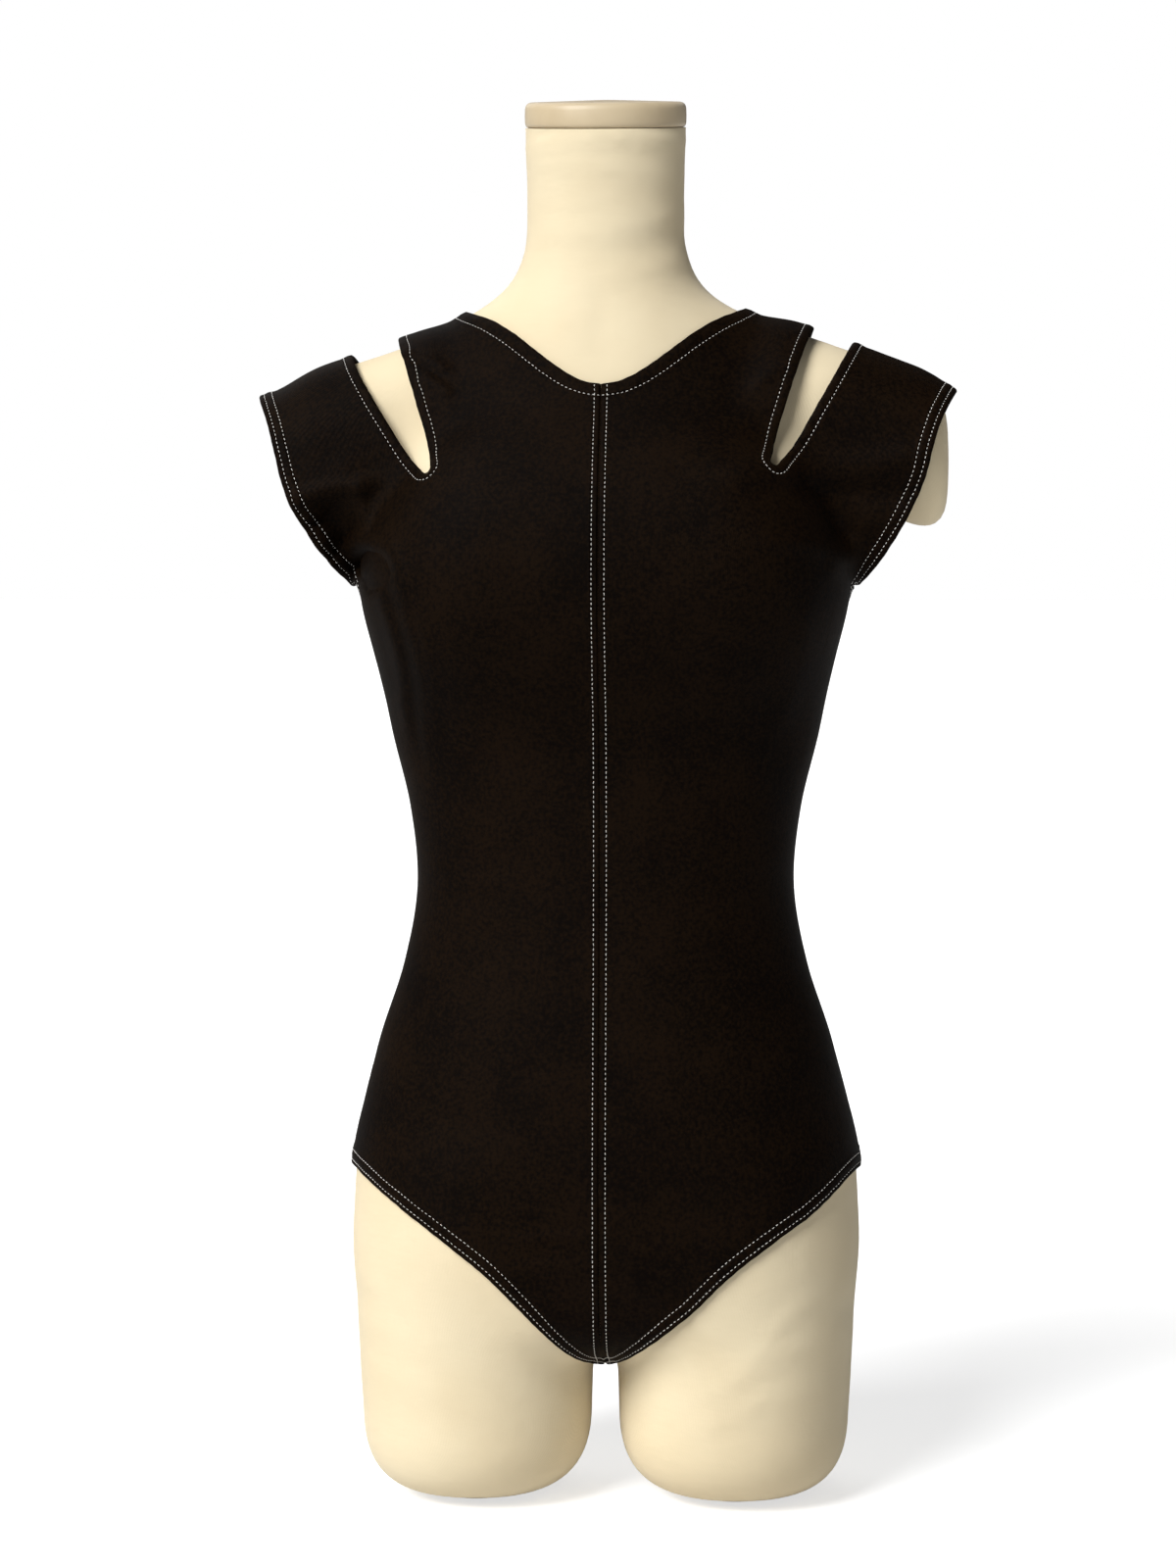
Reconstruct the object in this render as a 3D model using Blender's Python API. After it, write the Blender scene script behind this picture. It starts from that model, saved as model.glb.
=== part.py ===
"""Leotard with cap sleeves and open shoulders, worn by a limbless dress form.

The dress form is one smooth body with a neck, two short arm stubs and two short thighs.
The leotard is three panels of thin stretch cloth: two fronts sewn together down the
middle and one back. Its cap sleeves are cut in one with the panels.
Sizes are in millimetres, +Z is up and the front of the body faces -Y.
"""

import bpy
import numpy as np

MM = 0.001
MIDDLE = (0.6, 3.08, 0.0)


def table(columns, *rows):
    """A short table of sizes whose columns are reached by name."""
    values = np.array(rows, dtype=float)
    return {name: values[:, place] for place, name in enumerate(columns)}


# Trunk and neck of the body, as ovals at rising heights
TRUNK = table(
    ("height", "half_width", "front", "back", "squareness"),
    (90, 118, 68, 82, 2.0),
    (120, 138, 82, 96, 2.1),
    (150, 151, 90, 104, 2.2),
    (185, 153.5, 94, 107, 2.2),
    (215, 154.5, 95, 105, 2.2),
    (250, 150, 93, 98, 2.2),
    (286, 142, 89, 89, 2.2),
    (336, 126, 83, 79, 2.2),
    (386, 117.5, 79, 74, 2.2),
    (436, 122, 79, 75, 2.2),
    (486, 134, 82, 79, 2.2),
    (536, 143, 85, 83, 2.2),
    (575, 150, 87, 86, 2.2),
    (620, 147, 85, 88, 2.2),
    (660, 128, 77, 85, 2.1),
    (695, 101, 66, 75, 2.0),
    (725, 74, 56, 65, 2.0),
    (755, 54, 48, 60, 2.0),
    (785, 50.5, 44, 58, 2.0),
    (816, 50, 42, 58, 2.0),
    (900, 52.5, 43, 61, 2.0),
)
PELVIS_FLOOR = 101
PELVIS_ROUND = 30

# One thigh, as ovals at rising heights beside the middle
THIGH = table(
    ("height", "centre", "half_width", "front", "back"),
    (0, 82, 72, 70, 74),
    (45, 81.5, 72.5, 73, 78),
    (80, 82, 74, 76, 84),
    (130, 82, 75.5, 80, 91),
    (165, 79, 75.5, 82, 92),
    (230, 72, 70, 78, 84),
)
ROUND_SQUARENESS = 2.1
THIGH_TOP_ROUND = 30
THIGH_TOP = 230
THIGH_END = 3.0
THIGH_END_ROUND = 46
THIGH_CUT = 3.3
GROIN_FILLET = 22
THIGH_GAP_FILLET = 9

BUST_SPREAD = 68
BUST_FORWARD = 50
BUST_HEIGHT = 586
BUST_RADII = (64, 54, 70)
BUST_FILLET = 52
SEAT_SPREAD = 62
SEAT_BACK = 31
SEAT_HEIGHT = 184
SEAT_RADII = (74, 68, 76)
SEAT_FILLET = 52
PAIR_FILLET_SHARE = 0.3

SHOULDER_INNER = (30, 6, 724)
SHOULDER_OUTER = (180, 6, 669)
SHOULDER_RADII = (43, 45)
SHOULDER_FILLET = 38
SHOULDER_REACH = 1.6
ARM_END_LEFT = 217
ARM_END_RIGHT = 198
ARM_END_ROUND = 26

# The wearer's right shoulder hangs a little lower than the left
SHOULDER_DROP = table(
    ("x", "drop"),
    (0, 0),
    (75, 0),
    (120, 6),
    (165, 5.5),
    (225, 1.5),
)
DROP_LOW = 560
DROP_HIGH = 650

NECK_CUT_HEIGHT = 869
NECK_CUT_BACK = 8
NECK_CUT_TILT = 8
NECK_CAP_THICKNESS = 16
NECK_CAP_PROFILE = table(
    ("height_share", "size_share"),
    (0.0, 0.955),
    (0.09, 1.0),
    (0.72, 1.0),
    (0.92, 0.975),
    (1.0, 0.92),
)
NECK_CAP_DOME = 1.5
NECK_CAP_SIDES = 48
REST_GAP = 0.3
SHARP_ANGLE = 40

BASE_THICKNESS = 3
BASE_HALF_WIDTH = 27
BASE_FRONT = 25
BASE_BACK = 29
BASE_SIDES = 40

# Cloth: how it bridges the hollows of the body and how far it stands off
CLOTH_FILLET_GROWTH = 1.1
CLEARANCE = 0.95
EASE = table(
    ("height", "ease"),
    (0, 0.8),
    (105, 0.8),
    (140, 0),
    (680, 0),
    (735, 0.6),
    (900, 0.6),
)
CLOTH_THICKNESS = 1.5
SEAM_GAP = 0.3
SLEEVE_CENTRE = (190, 6, 638)
SLEEVE_SLOPE = 22
SLEEVE_HALF_HEIGHT = 66
SLEEVE_HALF_DEPTH = 55
SLEEVE_INNER_END = -112
SLEEVE_OUTER_END = 46
SLEEVE_END_ROUND = 20
SLEEVE_FILLET = 16

# Outlines of the front are as seen from straight ahead at this distance and height
VIEW_DISTANCE = 2100
VIEW_HEIGHT = 606

SIDE_SEAM = table(
    ("height", "y"),
    (0, 0),
    (530, 0),
    (640, 6),
    (900, 6),
)
NECKLINE_FRONT = table(
    ("x", "height"),
    (0, 703.5),
    (9, 704.6),
    (18, 708),
    (31, 716),
    (43, 725),
    (55, 734),
    (68, 742),
    (91, 751),
    (130, 766),
)
NECKLINE_BACK = table(
    ("x", "height"),
    (0, 728),
    (20, 728.5),
    (40, 731.5),
    (60, 737.5),
    (76, 744),
    (91, 751),
    (130, 766),
)
LEG_FRONT = table(
    ("x", "height"),
    (0, 81.5),
    (7, 82),
    (13, 84),
    (20, 87.5),
    (51, 111),
    (77, 136),
    (108, 161),
    (139, 186),
    (157, 205),
    (175, 224),
)
LEG_BACK = table(
    ("x", "height"),
    (0, 81.5),
    (7, 82),
    (13, 84),
    (20, 87.5),
    (50, 98),
    (85, 114),
    (120, 143),
    (145, 178),
    (157, 205),
    (175, 224),
)
# The front leg openings sit a little towards the wearer's left, but not at the crotch
LEG_SHIFT = 4.5
LEG_SHIFT_LOW = 85
LEG_SHIFT_RUN = 28
LEG_SIDE = 157
SLIT_TIP = (109.5, 651)
SLIT_TOP = (142, 727)
SLIT_WIDTH = table(
    ("along", "half_width"),
    (4, 3.6),
    (13, 6.0),
    (23, 7.7),
    (42, 9.8),
    (60, 11.8),
    (80, 13.5),
    (110, 14.5),
)
# The wearer's right slit opens a little wider towards its sleeve
SLIT_WIDER = 5
SLIT_LENGTH = 80
HEM_LOW = (158, 576)
HEM_HIGH = (221, 696)
HEM_START = -8
HEM_BULGE = table(
    ("along", "out"),
    (-8, 40),
    (-6, 38),
    (-1, 1),
    (5, 2.5),
    (13, 5.5),
    (24, 8.5),
    (45, 11),
    (65, 11.5),
    (84, 9.5),
    (101, 5.5),
    (119, 1.5),
    (136, 0),
    (170, 0),
)

# Largest folds as seen from the front or the back: ridges above zero, hollows below
FOLDS = table(
    ("face", "x_from", "height_from", "x_to", "height_to", "width", "rise"),
    (1, -196, 634, -158, 643, 11, 4.0),
    (1, -180, 606, -168, 622, 14, -5.0),
    (1, 108, 650, 194, 657, 13, 3.5),
    (1, 158, 628, 190, 632, 12, -1.5),
    (-1, -190, 640, -120, 628, 14, 3.0),
    (-1, 125, 640, 190, 648, 14, 3.0),
)
FOLD_FADE = 24

BLACK_JERSEY = (0.012, 0.011, 0.011)
CREAM_JERSEY = (0.80, 0.72, 0.56)
BEIGE_CAP = (0.70, 0.56, 0.38)
DARK_BOARD = (0.10, 0.09, 0.08)
JERSEY_ROUGHNESS = 0.85
COVER_ROUGHNESS = 0.9
CAP_ROUGHNESS = 0.4
BOARD_ROUGHNESS = 0.6

# Facets: spacing of the grid that the surfaces are read from
GRID_RISE = table(
    ("height", "spacing"),
    (-12, 17),
    (72, 7),
    (107, 14),
    (140, 30),
    (530, 17),
    (700, 11),
    (775, 29),
    (905, 22),
)
FACET = 19.0
FACET_CROTCH = 7.0
FACET_SLIT = 9.0
CROTCH_X = 17
GRID_X = 262
GRID_Y = 140
STEP = 0.05
TINY = 1e-6
SNAP_SHARE = 0.38
RELAX_ROUNDS = 3
SETTLE_ROUNDS = 6
TOUCH_UP_ROUNDS = 3
LONGEST_MOVE = 2.0
SAME_DIRECTION = 0.05
NEEDLE = 0.8


# Small tools for sizes and smooth bodies

def read(sizes, by, wanted, at):
    """Smooth value of one column of a table at given places of another column."""
    knots = sizes[by]
    values = sizes[wanted]
    slopes = np.gradient(values, knots)
    at = np.clip(at, knots[0], knots[-1])
    row = np.clip(np.searchsorted(knots, at, side="right") - 1, 0, len(knots) - 2)
    step = knots[row + 1] - knots[row]
    part = (at - knots[row]) / step
    rest = 1.0 - part
    first = values[row] * (1.0 + 2.0 * part) * rest ** 2 + slopes[row] * step * part * rest ** 2
    second = values[row + 1] * (1.0 + 2.0 * rest) * part ** 2
    return first + second - slopes[row + 1] * step * part ** 2 * rest


def join(one, other, fillet):
    """Union of two bodies, with a soft fillet where they meet."""
    overlap = np.maximum(fillet - np.abs(one - other), 0.0)
    return np.minimum(one, other) - overlap ** 2 / (4.0 * fillet)


def trim(one, other, rounding):
    """What two bodies share, with a soft edge."""
    return -join(-one, -other, rounding)


def oval(x, y, half_width, front, back, squareness):
    """Distance to an oval, measured along the ray from its centre."""
    depth = np.where(y < 0.0, front, back)
    reach = np.maximum(np.hypot(x, y), TINY)
    wide = (np.abs(x) / half_width) ** squareness
    deep = (np.abs(y) / depth) ** squareness
    size = np.maximum((wide + deep) ** (1.0 / squareness), TINY)
    return reach - reach / size


def ball(x, y, z, radii):
    """Distance to a ball with three different radii."""
    near = np.sqrt((x / radii[0]) ** 2 + (y / radii[1]) ** 2 + (z / radii[2]) ** 2)
    far = np.sqrt((x / radii[0] ** 2) ** 2 + (y / radii[1] ** 2) ** 2 + (z / radii[2] ** 2) ** 2)
    return near * (near - 1.0) / np.maximum(far, TINY)


# The body and the cloth over it, as distances from a point

def trunk_body(x, y, z):
    """Trunk and neck, closed below by the pelvis floor."""
    sizes = [read(TRUNK, "height", name, z) for name in ("half_width", "front", "back", "squareness")]
    return trim(oval(x, y, *sizes), PELVIS_FLOOR - z, PELVIS_ROUND)


def thigh_body(x, y, z):
    """One thigh with a rounded lower end, on the side where x is above zero."""
    sizes = [read(THIGH, "height", name, z) for name in ("half_width", "front", "back")]
    centre = read(THIGH, "height", "centre", z)
    side = oval(x - centre, y, *sizes, ROUND_SQUARENESS)
    side = trim(side, THIGH_END - z, THIGH_END_ROUND)
    return trim(side, z - THIGH_TOP, THIGH_TOP_ROUND)


def shoulder_body(x, y, z):
    """Shoulder and arm stub of both sides."""
    inner = np.array(SHOULDER_INNER, dtype=float)
    line = np.array(SHOULDER_OUTER, dtype=float) - inner
    across = np.abs(x)
    along = (across - inner[0]) * line[0] + (z - inner[2]) * line[2]
    along = np.clip(along / (line @ line), 0.0, SHOULDER_REACH)
    gap = np.sqrt((across - inner[0] - along * line[0]) ** 2 + (y - inner[1]) ** 2
                  + (z - inner[2] - along * line[2]) ** 2)
    radius = SHOULDER_RADII[0] + along * (SHOULDER_RADII[1] - SHOULDER_RADII[0])
    end = np.where(x > 0.0, ARM_END_LEFT, ARM_END_RIGHT)
    return trim(gap - radius, across - end, ARM_END_ROUND)


def pair(x, y, z, spread, height, depth, radii, bridge):
    """Two balls side by side; the bridge fills the hollow between them."""
    if bridge:
        return ball(x - np.clip(x, -spread, spread), y - depth, z - height, radii)
    left = ball(x - spread, y - depth, z - height, radii)
    right = ball(x + spread, y - depth, z - height, radii)
    return join(left, right, radii[0] * PAIR_FILLET_SHARE)


def figure(points, growth, bridge):
    """The body, with its fillets grown and its hollows bridged for cloth."""
    x, y, z = points.T
    body = trunk_body(x, y, z)
    bust = pair(x, y, z, BUST_SPREAD, BUST_HEIGHT, -BUST_FORWARD, BUST_RADII, bridge)
    body = join(body, bust, BUST_FILLET * growth)
    seat = pair(x, y, z, SEAT_SPREAD, SEAT_HEIGHT, SEAT_BACK, SEAT_RADII, bridge)
    body = join(body, seat, SEAT_FILLET * growth)
    thighs = join(thigh_body(x, y, z), thigh_body(-x, y, z), THIGH_GAP_FILLET)
    body = join(body, thighs, GROIN_FILLET)
    return join(body, shoulder_body(x, y, z), SHOULDER_FILLET)


def evened(points):
    """The points as they would lie if both shoulders were at one height."""
    share = np.clip((points[:, 2] - DROP_LOW) / (DROP_HIGH - DROP_LOW), 0.0, 1.0)
    drop = read(SHOULDER_DROP, "x", "drop", -points[:, 0]) * share ** 2 * (3.0 - 2.0 * share)
    result = points.copy()
    result[:, 2] += drop
    return result


def form_level(points):
    """Distance to the dress form, below zero inside it."""
    return figure(evened(points), 1.0, False)


def fold_rise(points):
    """How far the largest folds lift the cloth, or draw it in."""
    x, z = seen(points)
    x = np.where(points[:, 0] < 0.0, -x, x)
    ahead = ahead_of_seam(points) / FOLD_FADE
    total = np.zeros(len(points))
    for face, x_from, z_from, x_to, z_to, width, rise in zip(*FOLDS.values()):
        run = np.array([x_to - x_from, z_to - z_from])
        along = np.clip(((x - x_from) * run[0] + (z - z_from) * run[1]) / (run @ run), 0.0, 1.0)
        away = np.hypot(x - x_from - along * run[0], z - z_from - along * run[1])
        total += rise * np.exp(-(away / width) ** 2) * np.clip(face * ahead, 0.0, 1.0)
    return total


def cloth_level(points):
    """Distance to the surface that the cloth follows."""
    x, y, z = evened(points).T
    slope = np.radians(SLEEVE_SLOPE)
    out = np.abs(x) - SLEEVE_CENTRE[0]
    up = z - SLEEVE_CENTRE[2]
    along = out * np.cos(slope) - up * np.sin(slope)
    rise = out * np.sin(slope) + up * np.cos(slope)
    depth = SLEEVE_HALF_DEPTH
    tube = oval(rise, y - SLEEVE_CENTRE[1], SLEEVE_HALF_HEIGHT, depth, depth, ROUND_SQUARENESS)
    tube = trim(tube, along - SLEEVE_OUTER_END, SLEEVE_END_ROUND)
    tube = trim(tube, SLEEVE_INNER_END - along, SLEEVE_END_ROUND)
    body = figure(evened(points), CLOTH_FILLET_GROWTH, True)
    return join(body, tube, SLEEVE_FILLET) - fold_rise(points)


def slope_of(level, points):
    """Direction in which a level grows, at each point."""
    columns = []
    for axis in range(3):
        shift = np.zeros(3)
        shift[axis] = STEP
        columns.append((level(points + shift) - level(points - shift)) / (2.0 * STEP))
    return np.stack(columns, axis=1)


def outward(level, points):
    """Unit direction away from the body at each point."""
    slope = slope_of(level, points)
    return slope / np.linalg.norm(slope, axis=1)[:, None]


def settle(level, points, rounds, longest):
    """Points moved onto the surface where the level is zero."""
    for _ in range(rounds):
        slope = slope_of(level, points)
        step = (level(points) / np.sum(slope ** 2, axis=1))[:, None] * slope
        length = np.linalg.norm(step, axis=1)[:, None]
        points = points - step * np.minimum(1.0, longest / np.maximum(length, TINY))
    return points


# Outlines: each is above zero on the cloth that is kept

def seen(points):
    """How far out and how high a point looks from straight ahead."""
    points = evened(points)
    growth = VIEW_DISTANCE / (VIEW_DISTANCE - np.maximum(ahead_of_seam(points), 0.0))
    return np.abs(points[:, 0]) * growth, VIEW_HEIGHT + (points[:, 2] - VIEW_HEIGHT) * growth


def ahead_of_seam(points):
    """Distance ahead of the side, shoulder and crotch seams."""
    return read(SIDE_SEAM, "height", "y", points[:, 2]) - points[:, 1]


def front_cut(points):
    return ahead_of_seam(points) - 0.5 * SEAM_GAP


def back_cut(points):
    return -ahead_of_seam(points) - 0.5 * SEAM_GAP


def left_cut(points):
    return points[:, 0] - 0.5 * SEAM_GAP


def right_cut(points):
    return -points[:, 0] - 0.5 * SEAM_GAP


def neckline_cut(points):
    x, z = seen(points)
    front = read(NECKLINE_FRONT, "x", "height", x)
    back = read(NECKLINE_BACK, "x", "height", x)
    edge = np.where(ahead_of_seam(points) > 0.0, front, back)
    return np.where(x > NECKLINE_FRONT["x"][-1], VIEW_DISTANCE, edge - z)


def leg_cut(points):
    x, z = seen(points)
    rise = np.clip((z - LEG_SHIFT_LOW) / LEG_SHIFT_RUN, 0.0, 1.0)
    fade = np.clip((LEG_SIDE - x) / LEG_SHIFT_RUN, 0.0, 1.0)
    x_front = x - np.sign(points[:, 0]) * LEG_SHIFT * rise * fade
    front = read(LEG_FRONT, "x", "height", x_front)
    back = read(LEG_BACK, "x", "height", x)
    return z - np.where(ahead_of_seam(points) > 0.0, front, back)


def slit_cut(points):
    x, z = seen(points)
    line = np.array(SLIT_TOP, dtype=float) - np.array(SLIT_TIP, dtype=float)
    line = line / np.linalg.norm(line)
    along = (x - SLIT_TIP[0]) * line[0] + (z - SLIT_TIP[1]) * line[1]
    across = (x - SLIT_TIP[0]) * line[1] - (z - SLIT_TIP[1]) * line[0]
    wider = np.where(points[:, 0] < 0.0, SLIT_WIDER, 0.0) * np.clip(along / SLIT_LENGTH, 0.0, 1.0)
    across = across - 0.5 * wider
    start = SLIT_WIDTH["along"][0]
    below = np.maximum(start - along, 0.0)
    half_width = read(SLIT_WIDTH, "along", "half_width", np.maximum(along, start)) + 0.5 * wider
    return np.hypot(across, below) - half_width


def sleeve_cut(points):
    x, z = seen(points)
    line = np.array(HEM_HIGH, dtype=float) - np.array(HEM_LOW, dtype=float)
    line = line / np.linalg.norm(line)
    along = (x - HEM_LOW[0]) * line[0] + (z - HEM_LOW[1]) * line[1]
    out = (x - HEM_LOW[0]) * line[1] - (z - HEM_LOW[1]) * line[0]
    return np.where(along < HEM_START, VIEW_DISTANCE, read(HEM_BULGE, "along", "out", along) - out)


# Surfaces read from a grid

def mirrored_lines(reach, fine_reach, fine, coarse):
    """Grid lines on both sides of zero, closer together near the middle."""
    lines = [0.5 * fine]
    while lines[-1] < reach:
        lines.append(lines[-1] + (fine if lines[-1] < fine_reach else coarse))
    lines = np.array(lines)
    return np.concatenate([-lines[::-1], lines])


def rising_lines():
    """Grid lines from the floor to above the neck, at the spacings of the table."""
    heights = GRID_RISE["height"]
    lines = [heights[0]]
    while lines[-1] < heights[-1]:
        row = np.searchsorted(heights, lines[-1], side="right") - 1
        lines.append(lines[-1] + GRID_RISE["spacing"][row])
    return np.array(lines)


def grid_lines():
    """Grid lines along x, y and z."""
    across = mirrored_lines(GRID_X, CROTCH_X, FACET_CROTCH, FACET)
    deep = mirrored_lines(GRID_Y, 0.0, FACET, FACET)
    return across, deep, rising_lines()


def surface(level, lines, relax_rounds):
    """Closed surface of four-sided cells where the level is zero, cut into triangles."""
    shape = tuple(len(line) for line in lines)
    nodes = np.stack(np.meshgrid(*lines, indexing="ij"), axis=-1)
    values = level(nodes.reshape(-1, 3)).reshape(shape)
    sums = np.zeros((values.size, 3))
    counts = np.zeros(values.size)
    quads = []
    for axis in range(3):
        first, second = (axis + 1) % 3, (axis + 2) % 3
        low = np.take(values, range(shape[axis] - 1), axis=axis)
        high = np.take(values, range(1, shape[axis]), axis=axis)
        edges = np.argwhere((low < 0.0) != (high < 0.0))
        upper = edges.copy()
        upper[:, axis] += 1
        start = values[tuple(edges.T)]
        share = start / (start - values[tuple(upper.T)])
        crossing = nodes[tuple(edges.T)] + share[:, None] * (nodes[tuple(upper.T)] - nodes[tuple(edges.T)])
        corners = []
        for back_first, back_second in ((1, 1), (0, 1), (0, 0), (1, 0)):
            cell = edges.copy()
            cell[:, first] -= back_first
            cell[:, second] -= back_second
            index = np.ravel_multi_index(tuple(cell.T), shape)
            np.add.at(sums, index, crossing)
            np.add.at(counts, index, 1.0)
            corners.append(index)
        quad = np.stack(corners, axis=1)
        quad[start >= 0.0] = quad[start >= 0.0][:, ::-1]
        quads.append(quad)
    used = np.flatnonzero(counts)
    number = np.full(values.size, -1)
    number[used] = np.arange(len(used))
    quads = number[np.concatenate(quads)]
    points = settle(level, sums[used] / counts[used][:, None], SETTLE_ROUNDS, FACET)
    points = relax(level, points, quads, relax_rounds)
    return points, split_quads(points, quads)


def relax(level, points, quads, rounds):
    """Points spread evenly over the surface."""
    starts = quads.ravel()
    ends = np.roll(quads, -1, axis=1).ravel()
    for _ in range(rounds):
        sums = np.zeros_like(points)
        counts = np.zeros(len(points))
        np.add.at(sums, starts, points[ends])
        np.add.at(counts, starts, 1.0)
        points = settle(level, 0.5 * (points + sums / counts[:, None]), TOUCH_UP_ROUNDS, FACET)
    return points


def split_quads(points, quads):
    """Four-sided cells cut along their shorter diagonal."""
    one = np.linalg.norm(points[quads[:, 0]] - points[quads[:, 2]], axis=1)
    other = np.linalg.norm(points[quads[:, 1]] - points[quads[:, 3]], axis=1)
    turned = np.where((one <= other)[:, None], quads, np.roll(quads, -1, axis=1))
    return np.concatenate([turned[:, [0, 1, 2]], turned[:, [0, 2, 3]]])


# Cutting a surface along its outlines

def refine(level, points, triangles, rule, longest):
    """Finer triangles along one outline, so that its narrow end is not lost."""
    while True:
        edges = edges_of(triangles)
        middles = 0.5 * (points[edges[:, 0]] + points[edges[:, 1]])
        length = np.linalg.norm(points[edges[:, 0]] - points[edges[:, 1]], axis=1)
        split = (length > longest) & (np.abs(rule(middles)) < 0.5 * length)
        if not split.any():
            return points, triangles
        halves = {tuple(edge): len(points) + place for place, edge in enumerate(edges[split].tolist())}
        points = np.concatenate([points, settle(level, middles[split], TOUCH_UP_ROUNDS, longest)])
        triangles = halved(triangles, halves)


def halved(triangles, halves):
    """Triangles cut at the middles of some of their edges."""
    result = []
    for corners in triangles.tolist():
        middles = [halves.get((min(one, other), max(one, other)))
                   for one, other in zip(corners, corners[1:] + corners[:1])]
        count = sum(middle is not None for middle in middles)
        turn = 0
        if count == 1:
            turn = [middle is not None for middle in middles].index(True)
        if count == 2:
            turn = ([middle is not None for middle in middles].index(False) + 1) % 3
        a, b, c = corners[turn:] + corners[:turn]
        ab, bc, ca = middles[turn:] + middles[:turn]
        if count == 0:
            result.append([a, b, c])
        elif count == 1:
            result += [[a, ab, c], [ab, b, c]]
        elif count == 2:
            result += [[ab, b, bc], [a, ab, bc], [a, bc, c]]
        else:
            result += [[a, ab, ca], [ab, b, bc], [ca, bc, c], [ab, bc, ca]]
    return np.array(result)


def edges_of(triangles):
    """Each edge of the triangles once, lower point first."""
    pairs = np.concatenate([triangles[:, [0, 1]], triangles[:, [1, 2]], triangles[:, [2, 0]]])
    return np.unique(np.sort(pairs, axis=1), axis=0)


def snap_to_cut(points, triangles, marks, values):
    """Points that lie close to a cut moved onto it, so that no slivers are left."""
    edges = edges_of(triangles)
    start, end = values[edges[:, 0]], values[edges[:, 1]]
    edges = edges[start * end < 0.0]
    share = values[edges[:, 0]] / (values[edges[:, 0]] - values[edges[:, 1]])
    moved = {}
    for (one, other), part in zip(edges.tolist(), share.tolist()):
        for point, partner, way in ((one, other, part), (other, one, 1.0 - part)):
            if way < SNAP_SHARE and not np.any(marks[point] & ~marks[partner]):
                length = way * np.linalg.norm(points[partner] - points[point])
                if point not in moved or length < moved[point][0]:
                    moved[point] = (length, points[point] + way * (points[partner] - points[point]))
    for point, (_, place) in moved.items():
        points[point] = place
        values[point] = 0.0


def cut_surface(points, triangles, marks, values):
    """The part of the surface where the values are above zero."""
    points = points.copy()
    values = values.copy()
    snap_to_cut(points, triangles, marks, values)
    values[np.abs(values) < TINY] = 0.0
    fresh_points, fresh_marks, fresh = [], [], {}

    def crossing(one, other):
        key = (min(one, other), max(one, other))
        if key not in fresh:
            share = values[one] / (values[one] - values[other])
            fresh[key] = len(points) + len(fresh_points)
            fresh_points.append(points[one] + share * (points[other] - points[one]))
            fresh_marks.append(marks[one] & marks[other])
        return fresh[key]

    signs = np.sign(values[triangles])
    kept = triangles[(signs.min(axis=1) >= 0.0) & (signs.max(axis=1) > 0.0)].tolist()
    for corners in triangles[(signs.min(axis=1) < 0.0) & (signs.max(axis=1) > 0.0)].tolist():
        ring = []
        for one, other in zip(corners, corners[1:] + corners[:1]):
            if values[one] >= 0.0:
                ring.append(one)
            if values[one] * values[other] < 0.0:
                ring.append(crossing(one, other))
        kept.append(ring[:3])
        if len(ring) == 4:
            kept.append([ring[0], ring[2], ring[3]])
    on_cut = np.concatenate([values == 0.0, np.ones(len(fresh_points), dtype=bool)])
    if fresh_points:
        points = np.concatenate([points, np.array(fresh_points)])
        marks = np.concatenate([marks, np.array(fresh_marks)])
    return points, np.array(kept), marks, on_cut


def drop_unused(points, triangles, marks):
    """Only the points that triangles use."""
    used = np.unique(triangles)
    number = np.full(len(points), -1)
    number[used] = np.arange(len(used))
    return points[used], number[triangles], marks[used]


def settle_on_cuts(level, points, marks, cuts):
    """Edge points moved onto the surface and onto every outline that they belong to."""
    edge = np.flatnonzero(marks.any(axis=1))
    places = points[edge]
    flags = np.concatenate([np.ones((len(edge), 1)), marks[edge].astype(float)], axis=1)
    for _ in range(SETTLE_ROUNDS):
        rows = [slope_of(rule, places) for rule in [level] + cuts]
        gaps = np.stack([rule(places) for rule in [level] + cuts], axis=1) * flags
        slopes = np.stack(rows, axis=1) * flags[:, :, None]
        step = np.einsum("nij,nj->ni", np.linalg.pinv(slopes, rcond=SAME_DIRECTION), gaps)
        length = np.linalg.norm(step, axis=1)[:, None]
        places = places - step * np.minimum(1.0, LONGEST_MOVE / np.maximum(length, TINY))
    points = points.copy()
    points[edge] = places
    return points


def cut_out(level, points, triangles, cuts):
    """Part of a surface inside all the outlines, with smooth edges."""
    marks = np.zeros((len(points), len(cuts)), dtype=bool)
    for place, rule in enumerate(cuts):
        points, triangles, marks, on_cut = cut_surface(points, triangles, marks, rule(points))
        marks[:, place] |= on_cut
        points, triangles, marks = drop_unused(points, triangles, marks)
        points = settle_on_cuts(level, points, marks, cuts)
    triangles = drop_needles(points, triangles, marks)
    return drop_unused(points, triangles, marks)


def drop_needles(points, triangles, marks):
    """Triangles without needles whose three corners lie along one outline."""
    corners = points[triangles]
    sides = np.linalg.norm(corners - np.roll(corners, -1, axis=1), axis=2)
    area = 0.5 * np.linalg.norm(
        np.cross(corners[:, 1] - corners[:, 0], corners[:, 2] - corners[:, 0]), axis=1)
    along_one = (marks[triangles].all(axis=1)).any(axis=1)
    thin = 2.0 * area / sides.max(axis=1) < NEEDLE
    return triangles[~(along_one & thin)]


# Solids

def open_edges(triangles):
    """Directed edges that only one triangle has."""
    pairs = np.concatenate([triangles[:, [0, 1]], triangles[:, [1, 2]], triangles[:, [2, 0]]])
    present = set(map(tuple, pairs.tolist()))
    return [(one, other) for one, other in present if (other, one) not in present]


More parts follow.
